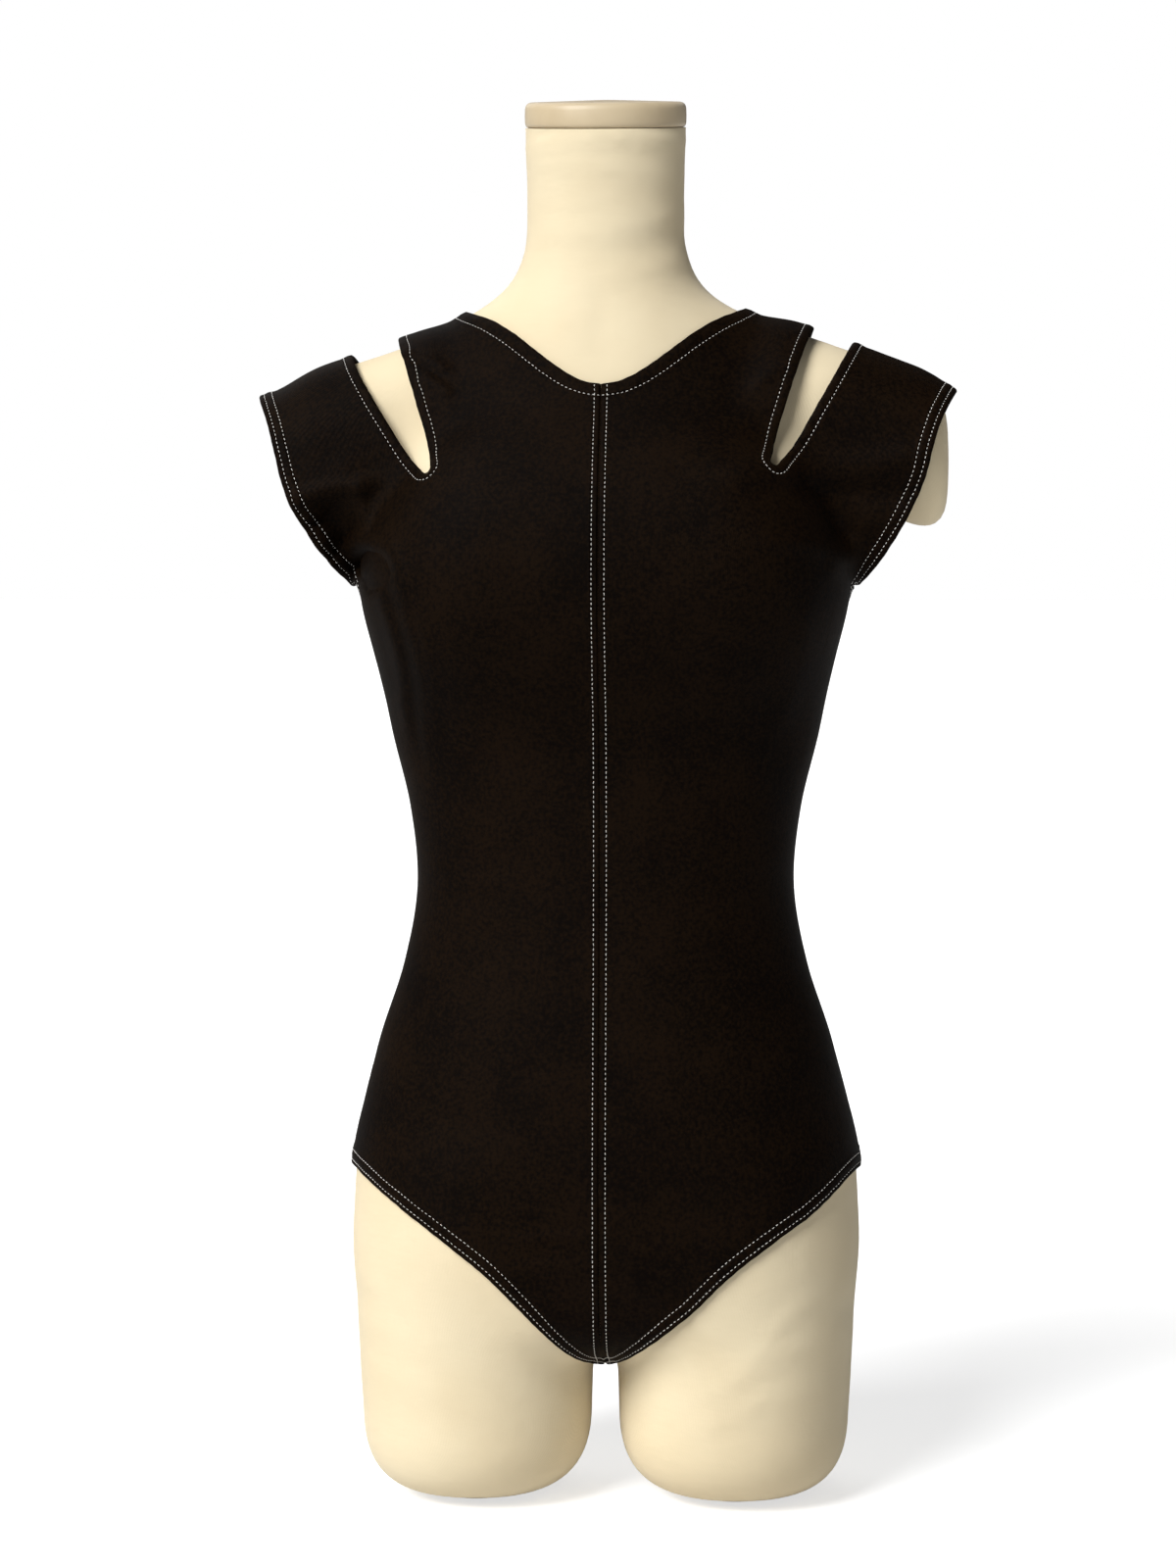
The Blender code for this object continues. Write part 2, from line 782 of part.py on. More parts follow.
def closed_with_flats(points, triangles):
    """The surface with each open loop closed by a flat fan."""
    following = dict(open_edges(triangles))
    points = points.tolist()
    triangles = triangles.tolist()
    while following:
        start = min(following)
        loop = [start]
        while following[loop[-1]] != start:
            loop.append(following[loop[-1]])
        centre = len(points)
        points.append(np.mean([points[index] for index in loop], axis=0).tolist())
        for one in loop:
            triangles.append([following[one], one, centre])
        for one in loop:
            del following[one]
    return np.array(points), np.array(triangles)


def cloth_solid(points, triangles, marks, seam_axes):
    """A wall of cloth outside the surface, with closed rims that are flat along the seams."""
    away = outward(cloth_level, points)
    for place, axis in enumerate(seam_axes):
        away[marks[:, place], axis] = 0.0
    away = away / np.linalg.norm(away, axis=1)[:, None]
    ease = np.interp(points[:, 2], EASE["height"], EASE["ease"])
    inner = points + (CLEARANCE + ease)[:, None] * away
    outer = inner + CLOTH_THICKNESS * away
    count = len(points)
    faces = [tuple(corners) for corners in triangles.tolist()]
    faces += [(a + count, c + count, b + count) for a, b, c in triangles.tolist()]
    for one, other in sorted(open_edges(triangles)):
        faces.append((other, one, one + count))
        faces.append((other, one + count, other + count))
    return np.concatenate([outer, inner]), faces


def ring_solid(rings, dome_low, dome_high):
    """A solid through closed rings of equal length, with a centre point at each end."""
    sides = len(rings[0])
    points = [point for ring in rings for point in ring]
    low = len(points)
    points.append(np.mean(rings[0], axis=0) + dome_low)
    points.append(np.mean(rings[-1], axis=0) + dome_high)
    faces = []
    for side in range(sides):
        after = (side + 1) % sides
        faces.append((low, after, side))
        top = (len(rings) - 1) * sides
        faces.append((low + 1, top + side, top + after))
        for level in range(len(rings) - 1):
            start = level * sides
            faces.append((start + side, start + after, start + sides + after))
            faces.append((start + side, start + sides + after, start + sides + side))
    return np.array(points), faces


def oval_ring(centre, half_width, front, back, sides):
    """Points round a flat oval."""
    turn = 2.0 * np.pi * np.arange(sides) / sides
    deep = np.where(np.sin(turn) < 0.0, front, back)
    flat = np.stack([half_width * np.cos(turn), deep * np.sin(turn), np.zeros(sides)], axis=1)
    return flat + np.array(centre)


def neck_height(y):
    """Height of the sloping top of the neck."""
    return NECK_CUT_HEIGHT + (y - NECK_CUT_BACK) * np.tan(np.radians(NECK_CUT_TILT))


def neck_cut(points):
    return neck_height(points[:, 1]) - points[:, 2]


def thigh_cut(points):
    return points[:, 2] - THIGH_CUT


def neck_cap_solid():
    """A low disc that covers the sloping top of the neck."""
    sizes = [float(read(TRUNK, "height", name, NECK_CUT_HEIGHT)) for name in ("half_width", "front", "back")]
    rings = []
    for height_share, size_share in zip(NECK_CAP_PROFILE["height_share"], NECK_CAP_PROFILE["size_share"]):
        ring = oval_ring((0, 0, 0), *[size * size_share for size in sizes], NECK_CAP_SIDES)
        ring[:, 1] += (1.0 - size_share) * NECK_CUT_BACK
        ring[:, 2] = neck_height(ring[:, 1]) + REST_GAP + height_share * NECK_CAP_THICKNESS
        rings.append(ring)
    return ring_solid(rings, np.zeros(3), np.array([0, 0, NECK_CAP_DOME]))


def base_solid(side):
    """A thin oval plate under one thigh."""
    centre = side * float(read(THIGH, "height", "centre", 0.0))
    rings = [oval_ring((centre, 0, height), BASE_HALF_WIDTH, BASE_FRONT, BASE_BACK, BASE_SIDES)
             for height in (0.0, BASE_THICKNESS)]
    return ring_solid(rings, np.zeros(3), np.zeros(3))


# Objects

def clear_scene():
    """Remove whatever the scene starts with."""
    for item in list(bpy.data.objects):
        bpy.data.objects.remove(item, do_unlink=True)


def add_object(name, points, faces, color, roughness):
    """One named solid with its own material."""
    mesh = bpy.data.meshes.new(name)
    places = (np.asarray(points) - MIDDLE) * MM
    mesh.from_pydata(places.tolist(), [], [tuple(face) for face in faces])
    mesh.update()
    mesh.shade_smooth()
    mesh.set_sharp_from_angle(angle=np.radians(SHARP_ANGLE))
    item = bpy.data.objects.new(name, mesh)
    bpy.context.scene.collection.objects.link(item)
    material = bpy.data.materials.new(name + "_material")
    material.use_nodes = True
    shader = material.node_tree.nodes["Principled BSDF"]
    shader.inputs["Base Color"].default_value = (*color, 1.0)
    shader.inputs["Roughness"].default_value = roughness
    mesh.materials.append(material)


def add_form():
    """The dress form: covered body, neck cap and two base plates."""
    points, triangles = surface(form_level, grid_lines(), RELAX_ROUNDS)
    points, triangles, marks = cut_out(form_level, points, triangles, [neck_cut, thigh_cut])
    points[marks[:, 0], 2] = neck_height(points[marks[:, 0], 1])
    points[marks[:, 1], 2] = THIGH_CUT
    points, triangles = closed_with_flats(points, triangles)
    add_object("form_body", points, triangles.tolist(), CREAM_JERSEY, COVER_ROUGHNESS)
    add_object("form_neck_cap", *neck_cap_solid(), BEIGE_CAP, CAP_ROUGHNESS)
    add_object("form_base_left", *base_solid(1), DARK_BOARD, BOARD_ROUGHNESS)
    add_object("form_base_right", *base_solid(-1), DARK_BOARD, BOARD_ROUGHNESS)


def add_leotard():
    """The three panels of cloth."""
    points, triangles = surface(cloth_level, grid_lines(), RELAX_ROUNDS)
    points, triangles = refine(cloth_level, points, triangles, slit_cut, FACET_SLIT)
    shared = [neckline_cut, slit_cut, sleeve_cut, leg_cut]
    panels = (
        ("front_left", [front_cut, left_cut], (1, 0)),
        ("front_right", [front_cut, right_cut], (1, 0)),
        ("back", [back_cut], (1,)),
    )
    for name, seams, seam_axes in panels:
        panel = cut_out(cloth_level, points, triangles, seams + shared)
        add_object(name, *cloth_solid(*panel, seam_axes), BLACK_JERSEY, JERSEY_ROUGHNESS)


clear_scene()
add_form()
add_leotard()
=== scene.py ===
"""Looks of a black stretch leotard on a cream dress form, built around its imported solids.

The cloth is a thin shell on the same form as its solids, with finer folds, turned hems
and topstitching. Sizes are in millimetres, +Z is up and the front of the body faces -Y.
"""

import bpy
import numpy as np
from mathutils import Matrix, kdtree


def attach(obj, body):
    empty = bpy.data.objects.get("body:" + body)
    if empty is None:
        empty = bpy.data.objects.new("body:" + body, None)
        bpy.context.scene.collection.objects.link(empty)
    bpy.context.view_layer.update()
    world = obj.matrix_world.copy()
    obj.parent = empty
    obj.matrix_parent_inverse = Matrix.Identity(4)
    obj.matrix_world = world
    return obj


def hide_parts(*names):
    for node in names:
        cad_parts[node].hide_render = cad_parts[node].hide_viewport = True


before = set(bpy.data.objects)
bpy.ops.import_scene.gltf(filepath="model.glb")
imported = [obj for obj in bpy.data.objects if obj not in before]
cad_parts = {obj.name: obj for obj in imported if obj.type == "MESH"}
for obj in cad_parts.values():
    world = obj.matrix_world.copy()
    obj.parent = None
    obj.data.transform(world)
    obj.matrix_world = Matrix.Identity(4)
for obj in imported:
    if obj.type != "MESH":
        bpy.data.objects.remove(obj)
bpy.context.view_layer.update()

MM = 0.001
MIDDLE = (0.6, 3.08, 0.0)


def table(columns, *rows):
    """A short table of sizes whose columns are reached by name."""
    values = np.array(rows, dtype=float)
    return {name: values[:, place] for place, name in enumerate(columns)}


# Trunk and neck of the body, as ovals at rising heights
TRUNK = table(
    ("height", "half_width", "front", "back", "squareness"),
    (90, 118, 68, 82, 2.0), (120, 138, 82, 96, 2.1), (150, 151, 90, 104, 2.2),
    (185, 153.5, 94, 107, 2.2), (215, 154.5, 95, 105, 2.2), (250, 150, 93, 98, 2.2),
    (286, 142, 89, 89, 2.2), (336, 126, 83, 79, 2.2), (386, 117.5, 79, 74, 2.2),
    (436, 122, 79, 75, 2.2), (486, 134, 82, 79, 2.2), (536, 143, 85, 83, 2.2),
    (575, 150, 87, 86, 2.2), (620, 147, 85, 88, 2.2), (660, 128, 77, 85, 2.1),
    (695, 101, 66, 75, 2.0), (725, 74, 56, 65, 2.0), (755, 54, 48, 60, 2.0),
    (785, 50.5, 44, 58, 2.0), (816, 50, 42, 58, 2.0), (900, 52.5, 43, 61, 2.0),
)
PELVIS_FLOOR = 101
PELVIS_ROUND = 30

# One thigh, as ovals at rising heights beside the middle
THIGH = table(
    ("height", "centre", "half_width", "front", "back"),
    (0, 82, 72, 70, 74), (45, 81.5, 72.5, 73, 78), (80, 82, 74, 76, 84), (130, 82, 75.5, 80, 91),
    (165, 79, 75.5, 82, 92), (230, 72, 70, 78, 84),
)
ROUND_SQUARENESS = 2.1
THIGH_TOP_ROUND = 30
THIGH_TOP = 230
THIGH_END = 3.0
THIGH_END_ROUND = 46
THIGH_CUT = 3.3
GROIN_FILLET = 22
THIGH_GAP_FILLET = 9

BUST_SPREAD = 68
BUST_FORWARD = 50
BUST_HEIGHT = 586
BUST_RADII = (64, 54, 70)
BUST_FILLET = 52
SEAT_SPREAD = 62
SEAT_BACK = 31
SEAT_HEIGHT = 184
SEAT_RADII = (74, 68, 76)
SEAT_FILLET = 52
PAIR_FILLET_SHARE = 0.3

SHOULDER_INNER = (30, 6, 724)
SHOULDER_OUTER = (180, 6, 669)
SHOULDER_RADII = (43, 45)
SHOULDER_FILLET = 38
SHOULDER_REACH = 1.6
ARM_END_LEFT = 217
ARM_END_RIGHT = 198
ARM_END_ROUND = 26

# The wearer's right shoulder hangs a little lower than the left
SHOULDER_DROP = table(
    ("x", "drop"),
    (0, 0), (75, 0), (120, 6), (165, 5.5), (225, 1.5),
)
DROP_LOW = 560
DROP_HIGH = 650

# The sloping top of the neck, and the cap on it from its lower edge to the middle of its top
NECK_CUT_HEIGHT = 869
NECK_CUT_BACK = 8
NECK_CUT_TILT = 8
NECK_CAP_THICKNESS = 16
NECK_CAP_DOME = 1.5
NECK_CAP_CURVE = table(
    ("height_share", "size_share"),
    (0.0, 0.965), (0.03, 0.985), (0.10, 0.998), (0.20, 1.003), (0.45, 1.005), (0.72, 1.003),
    (0.84, 0.996), (0.92, 0.982), (0.97, 0.962), (1.0, 0.93), (1.0, 0.80), (1.0, 0.55), (1.0, 0.28),
    (1.0, 0.08),
)
CAP_SIDES = 128
REST_GAP = 0.3

# Cloth: how it bridges the hollows of the body and how far it stands off
CLOTH_FILLET_GROWTH = 1.1
CLEARANCE = 0.95
EASE = table(
    ("height", "ease"),
    (0, 0.8), (105, 0.8), (140, 0), (680, 0), (735, 0.6), (900, 0.6),
)
CLOTH_THICKNESS = 1.5
SEAM_GAP = 0.1
SLEEVE_CENTRE = (190, 6, 638)
SLEEVE_SLOPE = 22
SLEEVE_HALF_HEIGHT = 66
SLEEVE_HALF_DEPTH = 55
SLEEVE_INNER_END = -112
SLEEVE_OUTER_END = 46
SLEEVE_END_ROUND = 20
SLEEVE_FILLET = 16

# Outlines of the front are as seen from straight ahead at this distance and height
VIEW_DISTANCE = 2100
VIEW_HEIGHT = 606

SIDE_SEAM = table(
    ("height", "y"),
    (0, 0), (530, 0), (640, 6), (900, 6),
)
NECKLINE_FRONT = table(
    ("x", "height"),
    (0, 703.5), (9, 704.6), (18, 708), (31, 716), (43, 725), (55, 734), (68, 742), (91, 751),
    (130, 766),
)
NECKLINE_BACK = table(
    ("x", "height"),
    (0, 728), (20, 728.5), (40, 731.5), (60, 737.5), (76, 744), (91, 751), (130, 766),
)
LEG_FRONT = table(
    ("x", "height"),
    (0, 81.5), (7, 82), (13, 84), (20, 87.5), (51, 111), (77, 136), (108, 161), (139, 186),
    (157, 205), (175, 224),
)
LEG_BACK = table(
    ("x", "height"),
    (0, 81.5), (7, 82), (13, 84), (20, 87.5), (50, 98), (85, 114), (120, 143), (145, 178),
    (157, 205), (175, 224),
)
# The front leg openings sit a little towards the wearer's left, but not at the crotch
LEG_SHIFT = 4.5
LEG_SHIFT_LOW = 85
LEG_SHIFT_RUN = 28
LEG_SIDE = 157
SLIT_TIP = (109.5, 651)
SLIT_TOP = (142, 727)
SLIT_WIDTH = table(
    ("along", "half_width"),
    (4, 3.6), (13, 6.0), (23, 7.7), (42, 9.8), (60, 11.8), (80, 13.5), (110, 14.5),
)
# The wearer's right slit opens a little wider towards its sleeve
SLIT_WIDER = 5
SLIT_LENGTH = 80
HEM_LOW = (158, 576)
HEM_HIGH = (221, 696)
HEM_START = -8
HEM_BULGE = table(
    ("along", "out"),
    (-8, 40), (-6, 38), (-1, 1), (5, 2.5), (13, 5.5), (24, 8.5), (45, 11), (65, 11.5), (84, 9.5),
    (101, 5.5), (119, 1.5), (136, 0), (170, 0),
)

# Folds as seen from the front or the back: ridges above zero, hollows below.
# Bow is how far the middle of a fold lies off its straight line.
FOLDS = table(
    ("face", "x_from", "height_from", "x_to", "height_to", "bow", "width", "rise"),
    (1, -194, 635, -158, 645, 2, 6, 4.6), (1, -200, 642, -166, 654, 1, 9, 1.6),
    (1, -178, 624, -166, 612, 2, 12, -9.0), (1, -172, 602, -160, 594, 2, 9, -5.0),
    (1, -156, 634, -154, 606, 3, 6, 2.4), (1, -152, 594, -140, 582, 3, 9, -6.5),
    (1, -158, 604, -146, 606, 2, 5, 2.4), (1, -134, 600, -128, 578, 3, 6, 2.0),
    (1, 108, 650, 194, 657, -4, 10, 3.4), (1, 118, 633, 188, 633, 3, 9, -2.0),
    (1, 112, 604, 146, 597, 2, 6, 1.8), (1, 150, 612, 176, 604, 2, 8, -1.6),
    (1, 150, 590, 166, 612, -2, 6, 1.6), (1, -122, 729, -104, 719, 1, 3.2, 1.3),
    (1, -120, 724, -106, 714, 1, 3.0, -0.6), (1, -113, 711, -101, 703, 1, 3.2, 1.1),
    (1, -112, 696, -98, 690, 1, 4, 0.6), (1, 100, 704, 116, 714, 1, 4, 0.7),
    (1, -137, 560, -126, 500, 3, 4, 1.1), (1, -129, 556, -118, 490, 3, 4, -0.6),
    (1, -122, 552, -112, 486, 3, 4, 0.9), (1, -112, 548, -106, 492, 2, 4, 0.6),
    (1, 118, 500, 130, 556, -3, 6, 0.8), (1, 104, 478, 116, 530, -3, 7, 0.6),
    (1, -60, 452, -96, 470, 3, 8, 0.5), (1, -104, 396, -66, 384, -4, 9, 0.7),
    (1, 106, 402, 62, 388, -4, 9, 0.6), (1, -100, 372, -58, 366, -3, 8, 0.5),
    (1, -44, 159, -12, 161, 1, 3.6, 0.9), (1, -44, 141, -12, 142, 1, 3.6, 0.8),
    (1, 26, 128, 50, 112, 2, 4, 0.9), (1, -40, 118, -18, 104, -2, 5, 0.7),
    (1, 14, 150, 44, 158, -2, 5, 0.5), (1, -120, 190, -86, 166, -3, 7, 0.6),
    (1, 122, 192, 90, 168, 3, 7, 0.6), (-1, -190, 640, -120, 628, 3, 10, 2.8),
    (-1, 125, 640, 190, 648, -3, 10, 2.8), (-1, -182, 616, -160, 606, 2, 9, -2.4),
    (-1, 152, 604, 180, 616, 2, 9, -2.2), (-1, -90, 412, -20, 404, -3, 9, 1.0),
    (-1, 16, 396, 88, 408, 3, 9, 1.0), (-1, -70, 384, -8, 378, -3, 8, 0.7),
    (-1, 20, 430, 76, 440, 3, 10, 0.6), (-1, -104, 690, -66, 660, 4, 8, 0.9),
    (-1, 104, 690, 66, 660, -4, 8, 0.9), (-1, -118, 560, -100, 500, 4, 7, 0.8),
    (-1, 118, 556, 102, 498, -4, 7, 0.8), (-1, -60, 112, -24, 132, 3, 6, 0.8),
    (-1, 60, 112, 24, 132, -3, 6, 0.8), (-1, -14, 150, 12, 156, 2, 6, 0.6),
)
FOLD_FADE = 24
FOLD_END = 0.35
FOLD_REACH = 2.4

# Slack of the form's own cover
COVER_FOLDS = table(
    ("face", "x_from", "height_from", "x_to", "height_to", "bow", "width", "rise"),
    (1, -150, 130, -108, 96, 4, 6, 0.7), (1, -146, 104, -92, 70, 4, 7, 0.6),
    (1, -136, 70, -76, 44, 3, 7, 0.6), (1, -60, 90, -28, 58, -3, 7, 0.6),
    (1, -70, 56, -36, 34, -3, 6, 0.5), (1, 148, 128, 104, 92, -4, 6, 0.7),
    (1, 142, 96, 84, 66, -4, 7, 0.6), (1, 130, 62, 70, 40, -3, 7, 0.6),
    (1, 34, 92, 64, 62, 3, 7, 0.6), (1, -47, 863, 46, 867, 2, 3.5, -0.9),
    (1, -46, 857, 42, 861, 3, 4.5, 1.2), (1, -42, 846, 30, 838, 3, 6, 0.9),
    (1, -30, 800, 44, 812, -3, 7, 0.9), (1, 10, 776, 48, 786, -3, 7, 0.8),
    (-1, -140, 100, -90, 70, 4, 7, 0.7), (-1, 138, 104, 88, 72, -4, 7, 0.7),
    (-1, -120, 60, -60, 44, 4, 7, 0.6), (-1, 122, 64, 58, 46, -4, 7, 0.6),
)

# Turned hems: how wide the fold is, how much it stands up, and its rows of stitches
HEMS = {
    "neck": (9.6, 0.75, (8.0,)),
    "slit": (6.8, 0.6, (5.2,)),
    "sleeve": (9.6, 0.7, (2.75, 8.0)),
    "leg": (9.6, 0.7, (2.5, 8.0)),
}
HEM_ROWS = [(hem, row) for hem, (_, _, rows) in HEMS.items() for row in rows]
# Shares of a hem's height: at its edge, between two rows of stitches and at a row
HEM_EDGE = 0.45
HEM_BETWEEN = 0.45
HEM_BETWEEN_GROWTH = 0.11
HEM_AT_ROW = 0.4
HEM_STEP = 1.6
PUCKER = 0.16
PUCKER_REACH = 14.0
# Waves of the puckers: size, turn per mm along x and z, bend, and the bend's turn along x, y and z
PUCKER_WAVES = (
    (1.0, 0.52, 0.34, 1.7, (0.0, 0.05, 0.11)),
    (0.6, -0.41, 0.83, 1.3, (0.07, 0.0, 0.0)),
)
SEAM_DITCH = 0.5
SEAM_DITCH_WIDTH = 1.3
# Rows of stitches beside the centre-front seam, and how far cut edges bulge
SEAM_ROWS = (3.9,)
EDGE_ROUND = 0.42

# Between the legs the cloth spans the narrow hollow in a flatter curve
CROTCH_ROUND = 4.0
CROTCH_TOP = 125
CROTCH_RUN = 20

# Thread of the topstitching
STITCH_PITCH = 3.0
STITCH_LENGTH = 1.8
THREAD_RADIUS = 0.21
THREAD_LIFT = 0.10
THREAD_DIP = 0.30
THREAD_SIDES = 6
STITCH_WANDER = 0.12
# How much half a stitch varies in length, and the reach at which a row's direction is read
STITCH_SPREAD = 0.1
LINE_STEP = 0.5
# Rings of one stitch: place along its half length, lift off the cloth and share of the radius
STITCH_RINGS = (
    (-1.0, -THREAD_DIP, 0.7),
    (-0.55, THREAD_LIFT, 1.0),
    (0.55, THREAD_LIFT, 1.0),
    (1.0, -THREAD_DIP, 0.7),
)

FACET = 5.0
HEM_FACET = 1.9
FOLD_FACET = 2.6
FOLD_SEEN = 0.06
COVER_FACET = 5.5
GRID_X = 262
GRID_Y = 140
CLOTH_LOW = 62
CLOTH_HIGH = 790
COVER_LOW = -12
COVER_HIGH = 905
BAND_OUTSIDE = -4
BAND_INSIDE = 14
SEAM_BAND = 5
STEP = 0.05
TINY = 1e-6
SNAP_SHARE = 0.38
RELAX_ROUNDS = 3
SETTLE_ROUNDS = 6
TOUCH_UP_ROUNDS = 3
REFINE_ROUNDS = 3
LONGEST_MOVE = 2.0
SAME_DIRECTION = 0.05
NEEDLE = 0.3
SHARP_ANGLE = 50
EDGE_POINTS = 5
FAR_AWAY = 999.0
SEED = 11

# Materials: colours, plain shader values, noises and how much each raises the surface
BLACK = (0.0024, 0.0012, 0.0006)
BROWN_BLACK = (0.0086, 0.0042, 0.0016)
SHEEN_TINT = (0.55, 0.42, 0.32)
CREAM = (0.86, 0.74, 0.51)
CREAM_DEEP = (0.82, 0.69, 0.46)
CAP = (0.64, 0.52, 0.34)
CAP_DEEP = (0.58, 0.46, 0.29)
THREAD = (0.76, 0.74, 0.70)
BOARD = (0.07, 0.06, 0.05)
BOARD_PALE = (0.13, 0.11, 0.09)
FLOOR = (0.75, 0.75, 0.75)
FLOOR_GLOW = 0.66
SURFACES = {
    "black_jersey": {"Roughness": 0.62, "Specular IOR Level": 0.035,
                     "Sheen Weight": 0.004, "Sheen Roughness": 0.42},
    "cream_cover": {"Roughness": 0.88, "Specular IOR Level": 0.25,
                    "Sheen Weight": 0.15, "Sheen Roughness": 0.5},
    "beige_satin": {"Roughness": 0.42, "Sheen Weight": 0.2},
    "white_thread": {"Roughness": 0.6, "Sheen Weight": 0.3},
    "dark_board": {"Roughness": 0.7},
    "pale_floor": {"Roughness": 1.0, "Specular IOR Level": 0.0},
}
# Noises: size of the blotches in metres, detail, and how much closer they lie along x, y and z
NOISES = {
    "jersey_blotches": (0.045, 3.0, (1.0, 1.0, 1.0)),
    "jersey_grain": (0.0022, 3.0, (1.0, 1.0, 1.0)),
    "jersey_fuzz": (0.0016, 4.0, (1.0, 1.0, 1.0)),
    "jersey_ripple": (0.011, 2.0, (1.0, 1.0, 0.45)),
    "cover_tone": (0.09, 3.0, (1.0, 1.0, 1.0)),
    "cover_slack": (0.016, 2.0, (1.0, 1.0, 2.2)),
    "cap_tone": (0.03, 3.0, (1.0, 1.0, 1.0)),
    "cap_threads": (0.0009, 2.0, (1.0, 1.0, 4.0)),
    "thread_twist": (0.0004, 2.0, (1.0, 1.0, 1.0)),
    "board_grain": (0.004, 4.0, (1.0, 6.0, 1.0)),
}
# Fine knit: width and height of one loop in metres
JERSEY_KNIT = (0.0009, 0.0007)
COVER_KNIT = (0.0008, 0.0006)
KNIT_WANDER = 0.6
# A wave texture turns by 20 radians a metre for each unit of its scale
WAVE_TURN = 2.0 * np.pi / 20.0
# Half the width of the body that the weave is wrapped round
WEAVE_RADIUS = 130.0
BLOTCH_SHARE = 0.35
GRAIN_SHARE = 0.65
JERSEY_TONES = (0.36, 0.64)
SOFT_TONES = (0.3, 0.7)
# How high each rises or dips, and how far a dip reaches, in millimetres
JERSEY_KNIT_RISE = 0.10
JERSEY_FUZZ_RISE = 0.10
JERSEY_RIPPLE_RISE = 0.30
STITCH_DIP = 0.55
DIP_REACH = 1.1
COVER_KNIT_RISE = 0.08
COVER_SLACK_RISE = 0.35
FINE_RISE = 0.1
# Strength of the finest reliefs
CAP_RELIEF = 0.6
THREAD_RELIEF = 0.5
# Sockets of a mix of two colours: share, first and second colour, and the result
MIX_SHARE, MIX_FIRST, MIX_SECOND = 0, 6, 7
MIX_RESULT = 2

# The photograph: its size, its scale at the body's axis and where its axes fall
PICTURE_WIDTH = 1200
PICTURE_HEIGHT = 1600
MM_PER_PIXEL = 0.625
AXIS_PIXEL = 618
FLOOR_PIXEL = 1519
VIEW_TURN = 2.5
SENSOR = 36.0

# Studio: the floor in metres, and each lamp's direction, height and spread in degrees
FLOOR_REACH = 30.0
FLOOR_DROP = -0.0002
BACKDROP = (1.0, 1.0, 1.0)
ROOM_LIGHT = (0.06, 0.06, 0.06)
LIGHTS = (
    ("key", -40, 41, 30, 3.7, (1.0, 1.0, 1.0)),
    ("back", -150, 40, 50, 0.6, (1.0, 1.0, 1.0)),
)


# Small tools for sizes and smooth bodies

def read_columns(sizes, by, names, at):
    """Smooth values of some columns of a table at given places of another column."""
    knots = sizes[by]
    at = np.clip(at, knots[0], knots[-1])
    row = np.clip(np.searchsorted(knots, at, side="right") - 1, 0, len(knots) - 2)
    step = (knots[1:] - knots[:-1])[row]
    part = (at - knots[row]) / step
    rest = 1.0 - part
    start_share = (1.0 + 2.0 * part) * rest ** 2
    end_share = 1.0 - start_share
    start_slope = step * part * rest ** 2
    end_slope = step * part ** 2 * rest
    columns = []
    for name in names:
        values = sizes[name]
        slopes = np.gradient(values, knots)
        columns.append(values[row] * start_share + values[row + 1] * end_share
                       + slopes[row] * start_slope - slopes[row + 1] * end_slope)
    return columns


def read(sizes, by, wanted, at):
    """Smooth value of one column of a table at given places of another column."""
    return read_columns(sizes, by, (wanted,), at)[0]


def join(one, other, fillet):
    """Union of two bodies, with a soft fillet where they meet."""
    overlap = np.maximum(fillet - np.abs(one - other), 0.0)
    return np.minimum(one, other) - overlap ** 2 / (4.0 * fillet)


def trim(one, other, rounding):
    """What two bodies share, with a soft edge."""
    return -join(-one, -other, rounding)


def oval(x, y, half_width, front, back, squareness):
    """Distance to an oval, measured along the ray from its centre."""
    depth = np.where(y < 0.0, front, back)
    reach = np.maximum(np.hypot(x, y), TINY)
    wide = (np.abs(x) / half_width) ** squareness
    deep = (np.abs(y) / depth) ** squareness
    size = np.maximum((wide + deep) ** (1.0 / squareness), TINY)
    return reach - reach / size


def ball(x, y, z, radii):
    """Distance to a ball with three different radii."""
    near = np.sqrt((x / radii[0]) ** 2 + (y / radii[1]) ** 2 + (z / radii[2]) ** 2)
    far = np.sqrt((x / radii[0] ** 2) ** 2 + (y / radii[1] ** 2) ** 2 + (z / radii[2] ** 2) ** 2)
    return near * (near - 1.0) / np.maximum(far, TINY)


# The body and the cloth over it, as distances from a point

def trunk_body(x, y, z):
    """Trunk and neck, closed below by the pelvis floor."""
    sizes = read_columns(TRUNK, "height", ("half_width", "front", "back", "squareness"), z)
    return trim(oval(x, y, *sizes), PELVIS_FLOOR - z, PELVIS_ROUND)


def thigh_body(x, y, z):
    """One thigh with a rounded lower end, on the side where x is above zero."""
    *sizes, centre = read_columns(THIGH, "height", ("half_width", "front", "back", "centre"), z)
    side = oval(x - centre, y, *sizes, ROUND_SQUARENESS)
    side = trim(side, THIGH_END - z, THIGH_END_ROUND)
    return trim(side, z - THIGH_TOP, THIGH_TOP_ROUND)


def shoulder_body(x, y, z):
    """Shoulder and arm stub of both sides."""
    inner = np.array(SHOULDER_INNER, dtype=float)
    line = np.array(SHOULDER_OUTER, dtype=float) - inner
    across = np.abs(x)
    along = (across - inner[0]) * line[0] + (z - inner[2]) * line[2]
    along = np.clip(along / (line @ line), 0.0, SHOULDER_REACH)
    gap = np.sqrt((across - inner[0] - along * line[0]) ** 2 + (y - inner[1]) ** 2
                  + (z - inner[2] - along * line[2]) ** 2)
    radius = SHOULDER_RADII[0] + along * (SHOULDER_RADII[1] - SHOULDER_RADII[0])
    end = np.where(x > 0.0, ARM_END_LEFT, ARM_END_RIGHT)
    return trim(gap - radius, across - end, ARM_END_ROUND)


